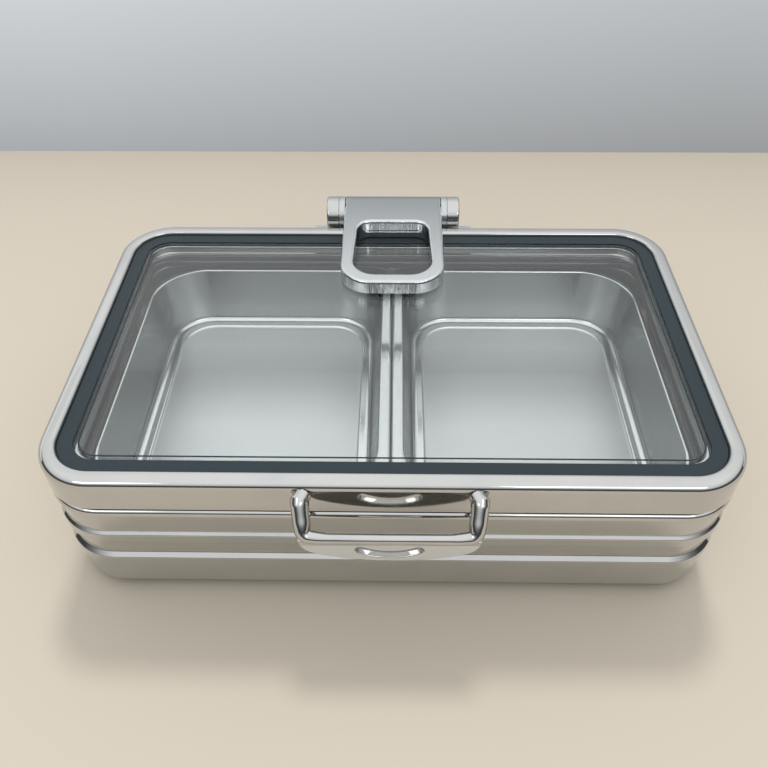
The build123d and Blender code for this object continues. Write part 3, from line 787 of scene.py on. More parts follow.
WIPING_RANGE = (0.5, 0.8)
WIPING_ROUGHNESS = (0.0, 0.03)
GLASS_IOR = 1.5


class Polish(NamedTuple):
    """A polished finish: its colour's setting, wiping haze, sheet waves and relief."""
    tone: str
    haze: float
    haze_scale: float
    wave_scale: float
    bump: float
    depth: float


class Grain(NamedTuple):
    """A ground, drawn or moulded finish: its colour's setting, gloss, line direction and relief."""
    tone: str
    roughness: float
    stretch: tuple
    bump: float
    depth: float
    scale: float = 1600.0
    spread: float = 0.12
    clouds: float = 18.0
    metallic: float = 1.0
    specular: float = 0.5


POLISHES = {
    # Sheet of the water pan and the lid frame
    "mirror_steel": Polish("mirror", 0.06, 14.0, 9.0, 0.05, 0.002),
    # Solid steel of the handle and the hinge caps
    "bright_steel": Polish("mirror", 0.04, 40.0, 30.0, 0.03, 0.0006),
    # Front of the grip plate, its polished steel darkened by painted shade
    "grip_steel": Polish("grip", 0.04, 40.0, 30.0, 0.03, 0.0006),
}
GRAINS = {
    # Milled and polished sides of the hinge arm, with fine upright tool lines
    "machined_steel": Grain(
        "milled", 0.05, UPRIGHT_LINES, 0.45, 0.001, scale=420.0, spread=0.10, clouds=60.0
    ),
    # Blasted back of the grip plate; its pale tone is painted light that brightens the dark back
    "ground_steel": Grain("pan", 0.62, EVEN, 0.1, 0.0003, scale=1500.0),
    # Unpolished insides of the lid frame and the water pan; their dark tone is painted shade
    "dull_steel": Grain("inside", 0.34, UPRIGHT_GRAIN, 0.06, 0.0003, scale=900.0),
    # Brushed hinge bracket
    "bracket_steel": Grain("satin", 0.28, LENGTHWISE_GRAIN, 0.05, 0.0003, spread=0.16),
    # Ground foot plate
    "plate_steel": Grain("plate", 0.42, PLATE_GRAIN, 0.08, 0.0004, scale=900.0, spread=0.2),
    # Turned screws, nuts and washers
    "fastener_steel": Grain("satin", 0.22, EVEN, 0.04, 0.0002, scale=2200.0),
    # Moulded glazing seal
    "seal_rubber": Grain(
        "rubber", 0.44, EVEN, 0.10, 0.0002, scale=1400.0, spread=0.16, clouds=30.0, metallic=0.0,
        specular=0.3
    ),
    # Soft pads between the hinge arm and the glass
    "pad_rubber": Grain("pad", 0.55, EVEN, 0.1, 0.0002, scale=1800.0, metallic=0.0),
    # Moulded case of the damper cartridges
    "damper_case": Grain("damper", 0.5, EVEN, 0.1, 0.0002, scale=2000.0, metallic=0.0),
}
FINISH_OUTPUTS = (("Color", "Color"), ("Roughness", "Float"), ("Height", "Float"))


def opaque(tone):
    """A colour with full alpha."""
    return (*tone, 1.0)


def math_node(tree, operation, first, second, kind="ShaderNodeMath", **settings):
    """The result of a Math or Vector Math node between two sockets or values."""
    node = add_node(tree, kind, operation=operation, **settings)
    for entry, value in zip(node.inputs, (first, second)):
        if isinstance(value, bpy.types.NodeSocket):
            tree.links.new(value, entry)
        else:
            entry.default_value = value
    return node.outputs[0]


def mapped(tree, value, start, end, low=0.0, high=1.0):
    """A value brought from one range to another and held at its ends."""
    limits = {"From Min": start, "From Max": end, "To Min": low, "To Max": high}
    node = add_node(tree, "ShaderNodeMapRange", limits)
    tree.links.new(value, node.inputs["Value"])
    return node.outputs["Result"]


def noise(tree, vector, scale, detail, roughness=0.5):
    """A noise on a vector, at a scale that a socket gives."""
    node = add_node(tree, "ShaderNodeTexNoise", {"Detail": detail, "Roughness": roughness})
    wire(tree, (vector, node.inputs["Vector"]), (scale, node.inputs["Scale"]))
    return node.outputs["Fac"]


def tinted(tree, steel, factor, tint):
    """A colour multiplied by a tint as far as a factor says."""
    node = add_node(tree, "ShaderNodeMix", data_type="RGBA", blend_type="MULTIPLY")
    node.inputs["B"].default_value = opaque(tint)
    wire(tree, (factor, node.inputs["Factor"]), (steel, node.inputs["A"]))
    return node.outputs["Result"]


def part_of(tree, vector, axis):
    """One axis of a vector."""
    node = add_node(tree, "ShaderNodeSeparateXYZ")
    tree.links.new(vector, node.inputs[0])
    return node.outputs[axis]


def ramp(tree, value, stops):
    """A colour ramp on a value; stops are (place, colour with alpha), from low to high."""
    node = add_node(tree, "ShaderNodeValToRGB")
    bands = node.color_ramp.elements
    for band, (place, tone) in zip(bands, (stops[0], stops[-1])):
        band.position, band.color = place, tone
    for place, tone in stops[1:-1]:
        bands.new(place).color = tone
    tree.links.new(value, node.inputs["Fac"])
    return node


def let_through(material, picked, tone=EVEN):
    """Let the rays that a value picks pass through a material's surface, tinted on request."""
    tree = material.node_tree
    clear = add_node(tree, "ShaderNodeBsdfTransparent", {"Color": opaque(tone)})
    choose = add_node(tree, "ShaderNodeMixShader")
    wire(
        tree,
        (picked, choose.inputs["Fac"]),
        (tree.nodes["Principled BSDF"].outputs[0], choose.inputs[1]),
        (clear.outputs[0], choose.inputs[2]),
        (choose.outputs[0], tree.nodes["Material Output"].inputs["Surface"]),
    )


def finish_group(name, inputs):
    """A new shader group for a finish, with the outputs of its entry and the inputs of its exit."""
    group = bpy.data.node_groups.new(name, "ShaderNodeTree")
    add_sockets(group, "INPUT", (("Vector", "Vector"), *inputs))
    add_sockets(group, "OUTPUT", FINISH_OUTPUTS)
    entry, leave = group.nodes.new("NodeGroupInput"), group.nodes.new("NodeGroupOutput")
    return group, entry.outputs, leave.inputs


def polish_group():
    """Polished sheet: faint wiping haze, shallow sheet waves and a slight change of tone."""
    name = "Polished Sheet"
    if name in bpy.data.node_groups:
        return bpy.data.node_groups[name]
    group, entry, leave = finish_group(name, (
        ("Steel", "Color", (0.7, 0.7, 0.7, 1.0)), ("Roughness", "Float", 0.05),
        ("Haze", "Float", 0.06), ("Haze Scale", "Float", 14.0), ("Wave Scale", "Float", 9.0),
        ("Line Scale", "Float", 900.0),
    ))
    vector = entry["Vector"]
    haze = mapped(group, noise(group, vector, entry["Haze Scale"], 5.0, 0.62), *HAZE_RANGE)
    stretched = math_node(group, "MULTIPLY", vector, LINE_STRETCH, "ShaderNodeVectorMath")
    lines = noise(group, stretched, entry["Line Scale"], 2.0)
    marks = math_node(
        group, "ADD", math_node(group, "MULTIPLY", haze, entry["Haze"]),
        math_node(group, "MULTIPLY", lines, LINE_GLOSS)
    )
    rough = math_node(group, "ADD", marks, entry["Roughness"], use_clamp=True)
    wire(
        group,
        (tinted(group, entry["Steel"], haze, HAZE_TINT), leave["Color"]),
        (rough, leave["Roughness"]),
        (noise(group, vector, entry["Wave Scale"], 1.0), leave["Height"]),
    )
    return group


def grain_group():
    """Ground or drawn steel: fine lines along one direction, soft clouds and tiny pits."""
    name = "Steel Grain"
    if name in bpy.data.node_groups:
        return bpy.data.node_groups[name]
    group, entry, leave = finish_group(name, (
        ("Stretch", "Vector", (1.0, 0.03, 1.0)), ("Steel", "Color", (0.6, 0.6, 0.6, 1.0)),
        ("Scale", "Float", 1600.0), ("Roughness", "Float", 0.3), ("Spread", "Float", 0.12),
        ("Clouds", "Float", 18.0),
    ))
    vector = entry["Vector"]
    stretched = math_node(group, "MULTIPLY", vector, entry["Stretch"], "ShaderNodeVectorMath")
    grain = noise(group, stretched, entry["Scale"], 3.0)
    clouds = noise(group, vector, entry["Clouds"], 4.0)
    mixed = math_node(
        group, "ADD", math_node(group, "MULTIPLY", grain, GRAIN_SHARE),
        math_node(group, "MULTIPLY", clouds, CLOUD_SHARE)
    )
    centred = math_node(group, "SUBTRACT", mixed, 0.5)
    change = math_node(group, "MULTIPLY", centred, entry["Spread"])
    rough = math_node(group, "ADD", entry["Roughness"], change, use_clamp=True)
    wire(
        group,
        (tinted(group, entry["Steel"], mixed, GRAIN_TINT), leave["Color"]),
        (rough, leave["Roughness"]),
        (grain, leave["Height"]),
    )
    return group


def shaded(name, group, values, bump, depth):
    """A metal whose colour, roughness and relief come from a shared group."""
    name = "warmer_" + name
    if name in bpy.data.materials:
        return bpy.data.materials[name]
    material = bpy.data.materials.new(name)
    material.use_nodes = True
    tree = material.node_tree
    surface = tree.nodes["Principled BSDF"]
    surface.inputs["Metallic"].default_value = 1.0
    place = add_node(tree, "ShaderNodeTexCoord")
    detail = add_node(tree, "ShaderNodeGroup", name="Detail", node_tree=group)
    for label, value in values.items():
        detail.inputs[label].default_value = value
    relief = add_node(tree, "ShaderNodeBump", {"Strength": bump, "Distance": depth})
    wire(
        tree,
        (place.outputs["Object"], detail.inputs["Vector"]),
        (detail.outputs["Color"], surface.inputs["Base Color"]),
        (detail.outputs["Roughness"], surface.inputs["Roughness"]),
        (detail.outputs["Height"], relief.inputs["Height"]),
        (relief.outputs["Normal"], surface.inputs["Normal"]),
    )
    return material


def finish(name):
    """The material of one of the finishes listed above."""
    look = bpy.context.scene.warmer_finishes
    if name in POLISHES:
        polish = POLISHES[name]
        return shaded(name, polish_group(), {
            "Steel": opaque(getattr(look, polish.tone)),
            "Roughness": look.mirror_roughness,
            "Haze": polish.haze,
            "Haze Scale": polish.haze_scale,
            "Wave Scale": polish.wave_scale,
        }, polish.bump, polish.depth)
    grain = GRAINS[name]
    material = shaded(name, grain_group(), {
        "Steel": opaque(getattr(look, grain.tone)),
        "Roughness": grain.roughness,
        "Stretch": grain.stretch,
        "Scale": grain.scale,
        "Spread": grain.spread,
        "Clouds": grain.clouds,
    }, grain.bump, grain.depth)
    surface = material.node_tree.nodes["Principled BSDF"]
    surface.inputs["Metallic"].default_value = grain.metallic
    surface.inputs["Specular IOR Level"].default_value = grain.specular
    return material


def toned(name, axis, start, end, grain, relief, stops):
    """Steel that changes along an axis from start to end; stops are (place, colour, roughness)."""
    material = shaded(name, grain_group(), grain, *relief)
    tree = material.node_tree
    if "Levels" in tree.nodes:
        return material
    detail = tree.nodes["Detail"]
    place = part_of(tree, tree.nodes["Texture Coordinate"].outputs["Object"], axis)
    bands = [(spot, (*tone, roughness)) for spot, tone, roughness in stops]
    tones = ramp(tree, mapped(tree, place, start, end), bands)
    tones.name = "Levels"
    wire(
        tree,
        (tones.outputs["Color"], detail.inputs["Steel"]),
        (tones.outputs["Alpha"], detail.inputs["Roughness"]),
    )
    return material


def satin_steel():
    """Ground steel of the hinge arm's top, with painted light paler to the front and painted shade
    darker to the rear.
    """
    look, size = bpy.context.scene.warmer_finishes, bpy.context.scene.warmer_hinge
    return toned("satin_steel", "Y", size.front, size.axis_y, ARM_GRAIN, ARM_RELIEF, (
        (0.1, look.arm_front_painted_light, look.satin_roughness),
        (0.95, look.arm_rear_painted_shade, look.satin_roughness),
    ))


def pan_steel():
    """Drawn steel of the food pans: bright ledge, walls darkened by painted shade, and polished
    flange.
    """
    look, size = bpy.context.scene.warmer_finishes, bpy.context.scene.warmer_pan
    material = toned("pan_steel", "Z", size.rim - size.height, size.rim, PAN_GRAIN, PAN_RELIEF, (
        (0.025, look.pan, look.pan_roughness),
        (0.035, look.pan, look.ledge_roughness),
        (0.055, look.pan, look.ledge_roughness),
        (0.13, look.pan_wall_painted_shade, look.wall_roughness),
        (0.955, look.pan_wall_painted_shade, look.wall_roughness),
        (0.99, look.pan_flange, look.flange_roughness),
    ))
    surface = material.node_tree.nodes["Principled BSDF"]
    surface.inputs["Specular Tint"].default_value = opaque(look.pan_edge)
    return material


def pan_floor_steel():
    """Satin steel of the pans' floors, with painted light brighter at the rear and painted shade
    duller before it.
    """
    look, size = bpy.context.scene.warmer_finishes, bpy.context.scene.warmer_pan
    half, rough = size.half_depth, look.pan_roughness
    return toned("pan_floor_steel", "Y", -half, half, PAN_GRAIN, PAN_RELIEF, (
        (0.44, look.pan, rough),
        (0.60, look.pan_middle_painted_shade, rough),
        (0.68, look.pan_middle_painted_shade, rough),
        (0.80, look.pan_rear_painted_light, rough),
    ))


def lid_glass_clear():
    """Clear toughened glass with faint wiping marks, which lets the lamps reach the pans."""
    name = "lid_glass_clear"
    if name in bpy.data.materials:
        return bpy.data.materials[name]
    look = bpy.context.scene.warmer_finishes
    material = bpy.data.materials.new(name)
    material.use_nodes = True
    tree = material.node_tree
    glass = tree.nodes["Principled BSDF"]
    for label, value in (
        ("Base Color", opaque(look.glass)), ("Metallic", 0.0), ("Transmission Weight", 1.0),
        ("IOR", GLASS_IOR),
    ):
        glass.inputs[label].default_value = value
    place = add_node(tree, "ShaderNodeTexCoord")
    wiping = add_node(tree, "ShaderNodeTexNoise", {"Scale": WIPING_SCALE, "Detail": 4.0})
    marks = mapped(tree, wiping.outputs["Fac"], *WIPING_RANGE, *WIPING_ROUGHNESS)
    wire(
        tree,
        (place.outputs["Object"], wiping.inputs["Vector"]),
        (marks, glass.inputs["Roughness"]),
    )
    path = add_node(tree, "ShaderNodeLightPath")
    let_through(material, path.outputs["Is Shadow Ray"], look.glass_shade)
    return material


# Pieces


class WARMER_OT_water_pan(bpy.types.Operator):
    """Build the polished water pan: beaded wall, rolled rim, deck, recess and ledge"""
    bl_idname = "warmer.water_pan"
    bl_label = "Water Pan"

    def execute(self, context):
        size = context.scene.warmer_basin
        plan = size.half_width, size.half_depth, size.corner
        inner_floor, under_deck = size.floor + size.sheet, size.deck - size.sheet
        under_ledge = size.ledge - size.sheet
        section = [(-size.floor_margin, size.floor), (0, size.floor)]
        radii = [0, size.floor_radius]
        for top, slope in (
            (size.lower_bead, size.lower_slope), (size.upper_bead, size.upper_slope),
        ):
            bottom = top - size.bead_height
            section += [
                (0, bottom), (size.bead_out, bottom + size.under_slope),
                (size.bead_out, top - slope), (size.bead_out - slope, top),
            ]
            radii += [size.bead_edge, size.bead_edge, size.bead_edge, size.bead_edge / 2]
        section += [
            (0, size.rim_bottom), (size.rim_out, size.rim_bottom + size.rim_under),
            (size.rim_out, size.rim_top), (-size.rim_in, size.rim_top),
            (-size.rim_in, size.deck), (-size.rim_in - size.deck_margin, size.deck),
        ]
        radii += [
            size.rim_root, size.rim_foot, size.rim_rounding, size.rim_inside, size.deck_fold, 0,
        ]
        recess = rounded(
            [(size.deck_margin, size.deck), (0, size.deck), (0, size.ledge),
             (-size.ledge_width, size.ledge)],
            [0, size.deck_fold, size.ledge_fold, 0], RECESS_STEPS
        )
        recess += [
            (-size.ledge_width, under_ledge), (size.sheet, under_ledge), (size.sheet, under_deck),
        ]
        inside = rounded(
            [(-size.sheet, under_deck), (-size.sheet, inner_floor),
             (-size.floor_margin, inner_floor)],
            [0, size.floor_radius - size.sheet, 0], WALL_STEPS
        )
        loops = levels(rounded(section, radii, WALL_STEPS), *plan)
        loops += levels(
            recess, size.recess_half_width, size.recess_half_depth, size.recess_corner
        )
        loops += levels(inside, *plan)
        name = "water_pan_shell"
        piece = new_piece(name, mesh_of(name, ring_shell(loops)), finish("mirror_steel"))

        def unpolished_painted_shade(face):
            height, depth = face.center.z, depth_inside(face.center, *plan)
            within = height > size.floor + size.sheet / 2 and depth > size.sheet / 2
            return within and (height < size.deck + size.sheet / 3 or depth > size.rim_in)

        # The pan's insides get a dark tone of painted shade.
        recoat(piece, finish("dull_steel"), unpolished_painted_shade)
        settle(piece, "base", "polished_steel", "water_pan")
        dress("foot_plate", finish("plate_steel"))
        return {"FINISHED"}


class WARMER_OT_food_pans(bpy.types.Operator):
    """Build the two drawn food pans with flat flanges and turned-down edges"""
    bl_idname = "warmer.food_pans"
    bl_label = "Food Pans"

    def execute(self, context):
        size = context.scene.warmer_pan
        sheet, mouth, bottom = size.sheet, -size.flange, size.rim - size.height
        inner_floor, lip = bottom + sheet, size.rim - size.lip
        ledge = inner_floor + size.ledge_step
        wall_foot = mouth - (size.rim - ledge) * tan(size.inner_draft)
        step = wall_foot - size.ledge_reach
        outer_foot = mouth + sheet - size.height * tan(size.draft)
        outline = rounded([
            (step - size.floor_margin, inner_floor), (step - size.ledge_step, inner_floor),
            (step, ledge), (wall_foot, ledge), (mouth, size.rim), (0, size.rim), (0, lip),
            (-sheet, lip), (-sheet, size.rim - sheet), (mouth + sheet, size.rim - sheet),
            (outer_foot, bottom), (outer_foot - size.under_margin, bottom),
        ], [
            0, size.ledge_step, size.ledge_step, size.ledge_radius, size.mouth_rounding,
            size.lip_rounding, size.cut_edge, size.cut_edge, size.fold, size.fold,
            size.floor_radius + sheet, 0,
        ], PAN_STEPS)

        def corner(out):
            part = min(max(-out / size.flange, 0.0), 1.0)
            drawn = size.flange_corner * (1 - part) + size.mouth_corner * part
            return drawn + size.corner_shrink * min(out + size.flange, 0.0)

        def on_floor(face):
            return face.normal.z > FLAT and face.center.z < inner_floor + size.ledge_step / 4

        for side, body, node in (
            (-1, "left_pan", "food_pan_left"), (1, "right_pan", "food_pan_right"),
        ):
            loops = [
                plan_loop(size.half_width + out, size.half_depth + out, corner(out), height,
                          side * size.offset)
                for out, height in outline
            ]
            name = node + "_shell"
            piece = new_piece(name, mesh_of(name, ring_shell(loops)), pan_steel())
            # The floors carry painted light at the rear and painted shade before it.
            recoat(piece, pan_floor_steel(), on_floor)
            settle(piece, body, "pan_steel", node)
        return {"FINISHED"}


class WARMER_OT_lid_frame(bpy.types.Operator):
    """Build the polished lid frame: skirt, shoulder, band, lip and glazing shelf"""
    bl_idname = "warmer.lid_frame"
    bl_label = "Lid Frame"

    def execute(self, context):
        size = context.scene.warmer_lid
        sheet, cut, band = size.sheet, size.cut_edge, -size.band
        shelf, lip = band - size.shelf, size.shelf_top - size.shelf_lip
        section = rounded([
            (0, size.bottom), (0, size.top), (band, size.top), (band, size.shelf_top),
            (shelf, size.shelf_top), (shelf, lip), (shelf + sheet, lip),
            (shelf + sheet, size.shelf_top - sheet), (band + sheet, size.shelf_top - sheet),
            (band + sheet, size.top - sheet), (-sheet, size.top - sheet), (-sheet, size.bottom),
        ], [
            cut, size.shoulder, size.band_edge, cut, size.shelf_edge, cut, cut, cut,
            size.shelf_fold, size.band_edge - sheet, size.shoulder - sheet, cut,
        ], FRAME_STEPS)
        piece = swept("lid_frame_rolled", section, size, finish("mirror_steel"))

        def unpolished_painted_shade(face):
            outward = face.normal.x * face.center.x + face.normal.y * face.center.y
            inward_or_down = outward < 0 or face.normal.z < UNDERSIDE
            return face.center.z < size.shelf_top - sheet / 4 and inward_or_down

        # The frame's insides get a dark tone of painted shade.
        recoat(piece, finish("dull_steel"), unpolished_painted_shade)
        settle(piece, "lid", "polished_steel", "lid_frame")
        return {"FINISHED"}


class WARMER_OT_glazing(bpy.types.Operator):
    """Build the glazing: the moulded seal round the clear pane, and a dark strip of painted shade
    on the glass
    """
    bl_idname = "warmer.glazing"
    bl_label = "Glazing"

    def execute(self, context):
        size = context.scene.warmer_lid
        rubber = finish("seal_rubber")
        outer = -size.band - HAIR
        inner = outer - size.seal_width
        glass_low, glass_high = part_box("lid_glass")
        bite = glass_high.x - size.half_width
        section = rounded([
            (outer, size.shelf_top), (outer, size.seal_top), (inner, size.seal_top),
            (inner, glass_high.z), (bite, glass_high.z), (bite, glass_low.z),
            (inner, glass_low.z), (inner, size.shelf_top),
        ], [
            size.seal_foot, size.seal_rounding, size.seal_rounding, 0, 0, 0, 0, size.seal_foot,
        ], SEAL_STEPS)
        piece = swept("glazing_seal", section, size, rubber)
        # The dark strip on the glass is painted shade: a sheet of seal rubber where the shelf
        # edge's shadow falls.
        near = inner - size.shade_line_in
        far = near - size.line_width
        low, high = glass_high.z, glass_high.z + size.shade_line_height
        outline = [(near, low), (near, high), (far, high), (far, low)]
        line = swept("glazing_line", outline, size, rubber)
        whole = bmesh.new()
        whole.from_mesh(piece.data)
        whole.from_mesh(line.data)
        whole.to_mesh(piece.data)
        whole.free()
        bpy.data.objects.remove(line)
        settle(piece, "lid", "seal_rubber", "glass_seal")
        dress("lid_glass", lid_glass_clear())
        return {"FINISHED"}


def arm_loop(size, inset, rear):
    """Plan of the hinge arm's outside, drawn in by an inset, with its rear end at a given place."""
    x, y = size.half_width - size.front_corner, size.front + size.front_corner
    side, corner = size.half_width - inset, size.front_corner - inset
    before, after = size.seat - HAIR, size.seat + HAIR
    return [
        *quarter(-x, y, corner, 180, ARM_STEPS), *quarter(x, y, corner, 270, ARM_STEPS),
        (side, before), (side, after), (side, rear), (-side, rear), (-side, after), (-side, before),
    ]


def window_loop(size, outset):
    """Plan of the hinge arm's window, grown by an outset."""
    near, far = size.window_front_corner, size.window_rear_corner
    front, rear = size.window_front + near, size.window_rear - far
    front_x, rear_x = size.window_front_half - near, size.window_rear_half - far
    loop = []
    for x, y, radius, start in (
        (-front_x, front, near, 180), (front_x, front, near, 270),
        (rear_x, rear, far, 0), (-rear_x, rear, far, 90),
    ):
        loop += quarter(x, y, radius + outset, start, WINDOW_STEPS)
    return loop


class WARMER_OT_hinge(bpy.types.Operator):
    """Build the hinge: arm with its window and barrel, end caps, and the bracket behind"""
    bl_idname = "warmer.hinge"
    bl_label = "Hinge"

    def arm(self, size, foot_y):
        """Flat arm with rounded edges and a window, and the barrel that it runs into."""
        crest_y = size.axis_y - size.barrel * sin(size.slope)
        crest_z = size.axis_z + size.barrel * cos(size.slope)

        def top(y):
            return crest_z - (crest_y - y) * tan(size.slope)

        def under(y):
            return size.underside if y < size.seat else size.seat_height

        shell = bmesh.new()
        outside, inside = [], []
        for inset, lift in ((size.under_edge, 0.0), (0.0, size.under_edge)):
            outside.append([(x, y, under(y) + lift) for x, y in arm_loop(size, inset, foot_y)])
            inside.append([(x, y, under(y) + lift) for x, y in window_loop(size, inset)])
        for step in range(EDGE_STEPS + 1):
            angle = pi / 2 * step / EDGE_STEPS
            inward, below = 1 - cos(angle), 1 - sin(angle)
            drop = size.edge * below
            rear = crest_y - drop * (crest_y - foot_y) / (crest_z - size.seat_height)
            loop = arm_loop(size, size.edge * inward, rear)
            outside.append([(x, y, top(y) - drop) for x, y in loop])
            drop = size.window_edge * below
            loop = window_loop(size, size.window_edge * inward)
            inside.append([(x, y, top(y) - drop) for x, y in loop])
        outer, inner = wall_of_loops(shell, outside), wall_of_loops(shell, inside)
        for level in (-1, 0):
            edges = ring_edges(shell, outer[level]) + ring_edges(shell, inner[level])
            bmesh.ops.triangle_fill(shell, use_beauty=True, edges=edges)
        radius, half, edge = size.barrel, size.half_width, size.barrel_edge
        bore = radius - size.barrel_wall
        wall_of_loops(shell, [
            [(x, size.axis_y + y, size.axis_z + z) for y, z in circle(reach, BARREL_STEPS)]
            for reach, x in (
                (bore, -half), (radius - edge, -half), (radius, edge - half), (radius, half - edge),
                (radius - edge, half), (bore, half), (bore, -half),
            )
        ])
        tidy_shell(shell)
        return shell

    def cap(self, size, side):
        """Turned end cap on the left (-1) or the right (1)."""
        near, far, radius = size.cap_near, size.cap_far, size.barrel
        outline = rounded(
            [(0, near), (radius, near), (radius, far), (0, far)],
            [0, size.cap_joint, size.cap_edge, 0], CAP_EDGE_STEPS
        )
        shell = turned([(max(reach, HAIR), along) for reach, along in outline], CAP_STEPS)
        place = Matrix.Translation((0, size.axis_y, size.axis_z))
        turn = Matrix.Rotation(side * pi / 2, 4, "Y")
        bmesh.ops.transform(shell, verts=shell.verts, matrix=place @ turn)
        return shell

    def execute(self, context):
        size = context.scene.warmer_hinge
        foot_y = size.axis_y - size.barrel + size.bite
        name = "hinge_arm_milled"
        mesh = mesh_of(name, self.arm(size, foot_y))
        arm = new_piece(name, mesh, finish("machined_steel"), SHARP_ARM)

        def ground(face):
            on_barrel = face.center.y > foot_y and face.normal.z > BARREL_TOP
            return face.center.z > size.ground_from and (face.normal.z > ARM_TOP or on_barrel)

        # The ground top's paler front and darker rear are painted light and shade.
        recoat(arm, satin_steel(), ground)
        settle(arm, "lid", "satin_steel", "hinge_arm")
        for side, node in ((-1, "end_cap_left"), (1, "end_cap_right")):
            name = node + "_turned"
            cap = new_piece(name, mesh_of(name, self.cap(size, side)), finish("bright_steel"))
            settle(cap, "base", "polished_steel", node)
        for node, material, body, slot in (
            ("hinge_bracket", "bracket_steel", "base", "satin_steel"),
            ("hinge_shaft", "fastener_steel", "base", "fastener_steel"),
            ("damper_left", "damper_case", "lid", "damper_body"),
            ("damper_right", "damper_case", "lid", "damper_body"),
        ):
            settle(smooth_copy(node, finish(material)), body, slot, node)
        return {"FINISHED"}


def straight_run(start, end):
    """Points on a straight run, about one spacing apart, without its start."""
    count = max(1, round((end - start).length / TUBE_SPACING))
    return [start.lerp(end, step / count) for step in range(1, count + 1)]


def bent_path(corners, bends):
    """Points along straight runs whose corners are bent to a radius, or sharp where it is 0."""
    points = [corners[0]]
    for before, corner, after, bend in zip(corners, corners[1:], corners[2:], bends):
        if not bend:
            points += straight_run(points[-1], corner)
            continue
        back, ahead = (before - corner).normalized(), (after - corner).normalized()
        half = back.angle(ahead) / 2
        reach = bend / tan(half)
        start, end = corner + back * reach, corner + ahead * reach
        centre = corner + (back + ahead).normalized() * (bend / sin(half))
        axis = (start - centre).cross(end - centre).normalized()
        turn = (start - centre).angle(end - centre)
        points += straight_run(points[-1], start)[:-1]
        points += [
            centre + Matrix.Rotation(turn * step / BEND_STEPS, 3, axis) @ (start - centre)
            for step in range(BEND_STEPS + 1)
        ]
    return points + straight_run(points[-1], corners[-1])


def blend_value(keys, place):
    """Smooth value at a place along a list of (place, value) keys."""
    for (start, low), (end, high) in zip(keys, keys[1:]):
        if place <= end:
            part = max(0.0, min(1.0, (place - start) / (end - start)))
            return low + (high - low) * part * part * (3 - 2 * part)
    return keys[-1][1]


def arc_of(half, sag):
    """Radius of an arc that hangs by a sag between two ends, and its angle from middle to end."""
    radius = (half ** 2 + sag ** 2) / (2 * sag)
    return radius, atan2(half, radius - sag)


def plate_outline(size):
    """Front view of the grip plate: straight ends, rounded lower corners and a bowed lower edge."""
    radius, lean = arc_of(size.plate_half, size.plate_end - size.plate_bottom)
    bow = []
    for step in range(-PLATE_STEPS, PLATE_STEPS + 1):
        angle = lean * step / PLATE_STEPS
        bow.append((radius * sin(angle), size.plate_bottom + radius * (1 - cos(angle))))
    clear = [point for point in bow if abs(point[0]) < size.plate_half - size.plate_corner]
    half, corner = size.plate_half, size.plate_corner
    return rounded(
        [bow[0], *clear, bow[-1], (half, size.bar_z), (-half, size.bar_z)],
        [corner, *[0] * len(clear), corner, 0, 0], PLATE_CORNER_STEPS
    )


def slot_outline(size):
    """Front view of the grip's curved slot with its round ends."""
    radius, lean = arc_of(size.slot_half, size.slot_sag)
    centre_z = size.slot_end - size.slot_sag + radius
    half = size.slot_height / 2

    def spot(angle, reach):
        return sin(angle) * reach, centre_z - cos(angle) * reach

    def round_end(place, start):
        x, z = spot(place, radius)
        angles = [start + pi * step / SLOT_END_STEPS for step in range(1, SLOT_END_STEPS)]
        return [(x + half * sin(angle), z - half * cos(angle)) for angle in angles]

    angles = [lean * step / SLOT_STEPS for step in range(-SLOT_STEPS, SLOT_STEPS + 1)]
    return [
        *(spot(angle, radius + half) for angle in angles), *round_end(lean, lean),
        *(spot(angle, radius - half) for angle in reversed(angles)), *round_end(-lean, pi - lean),
    ]


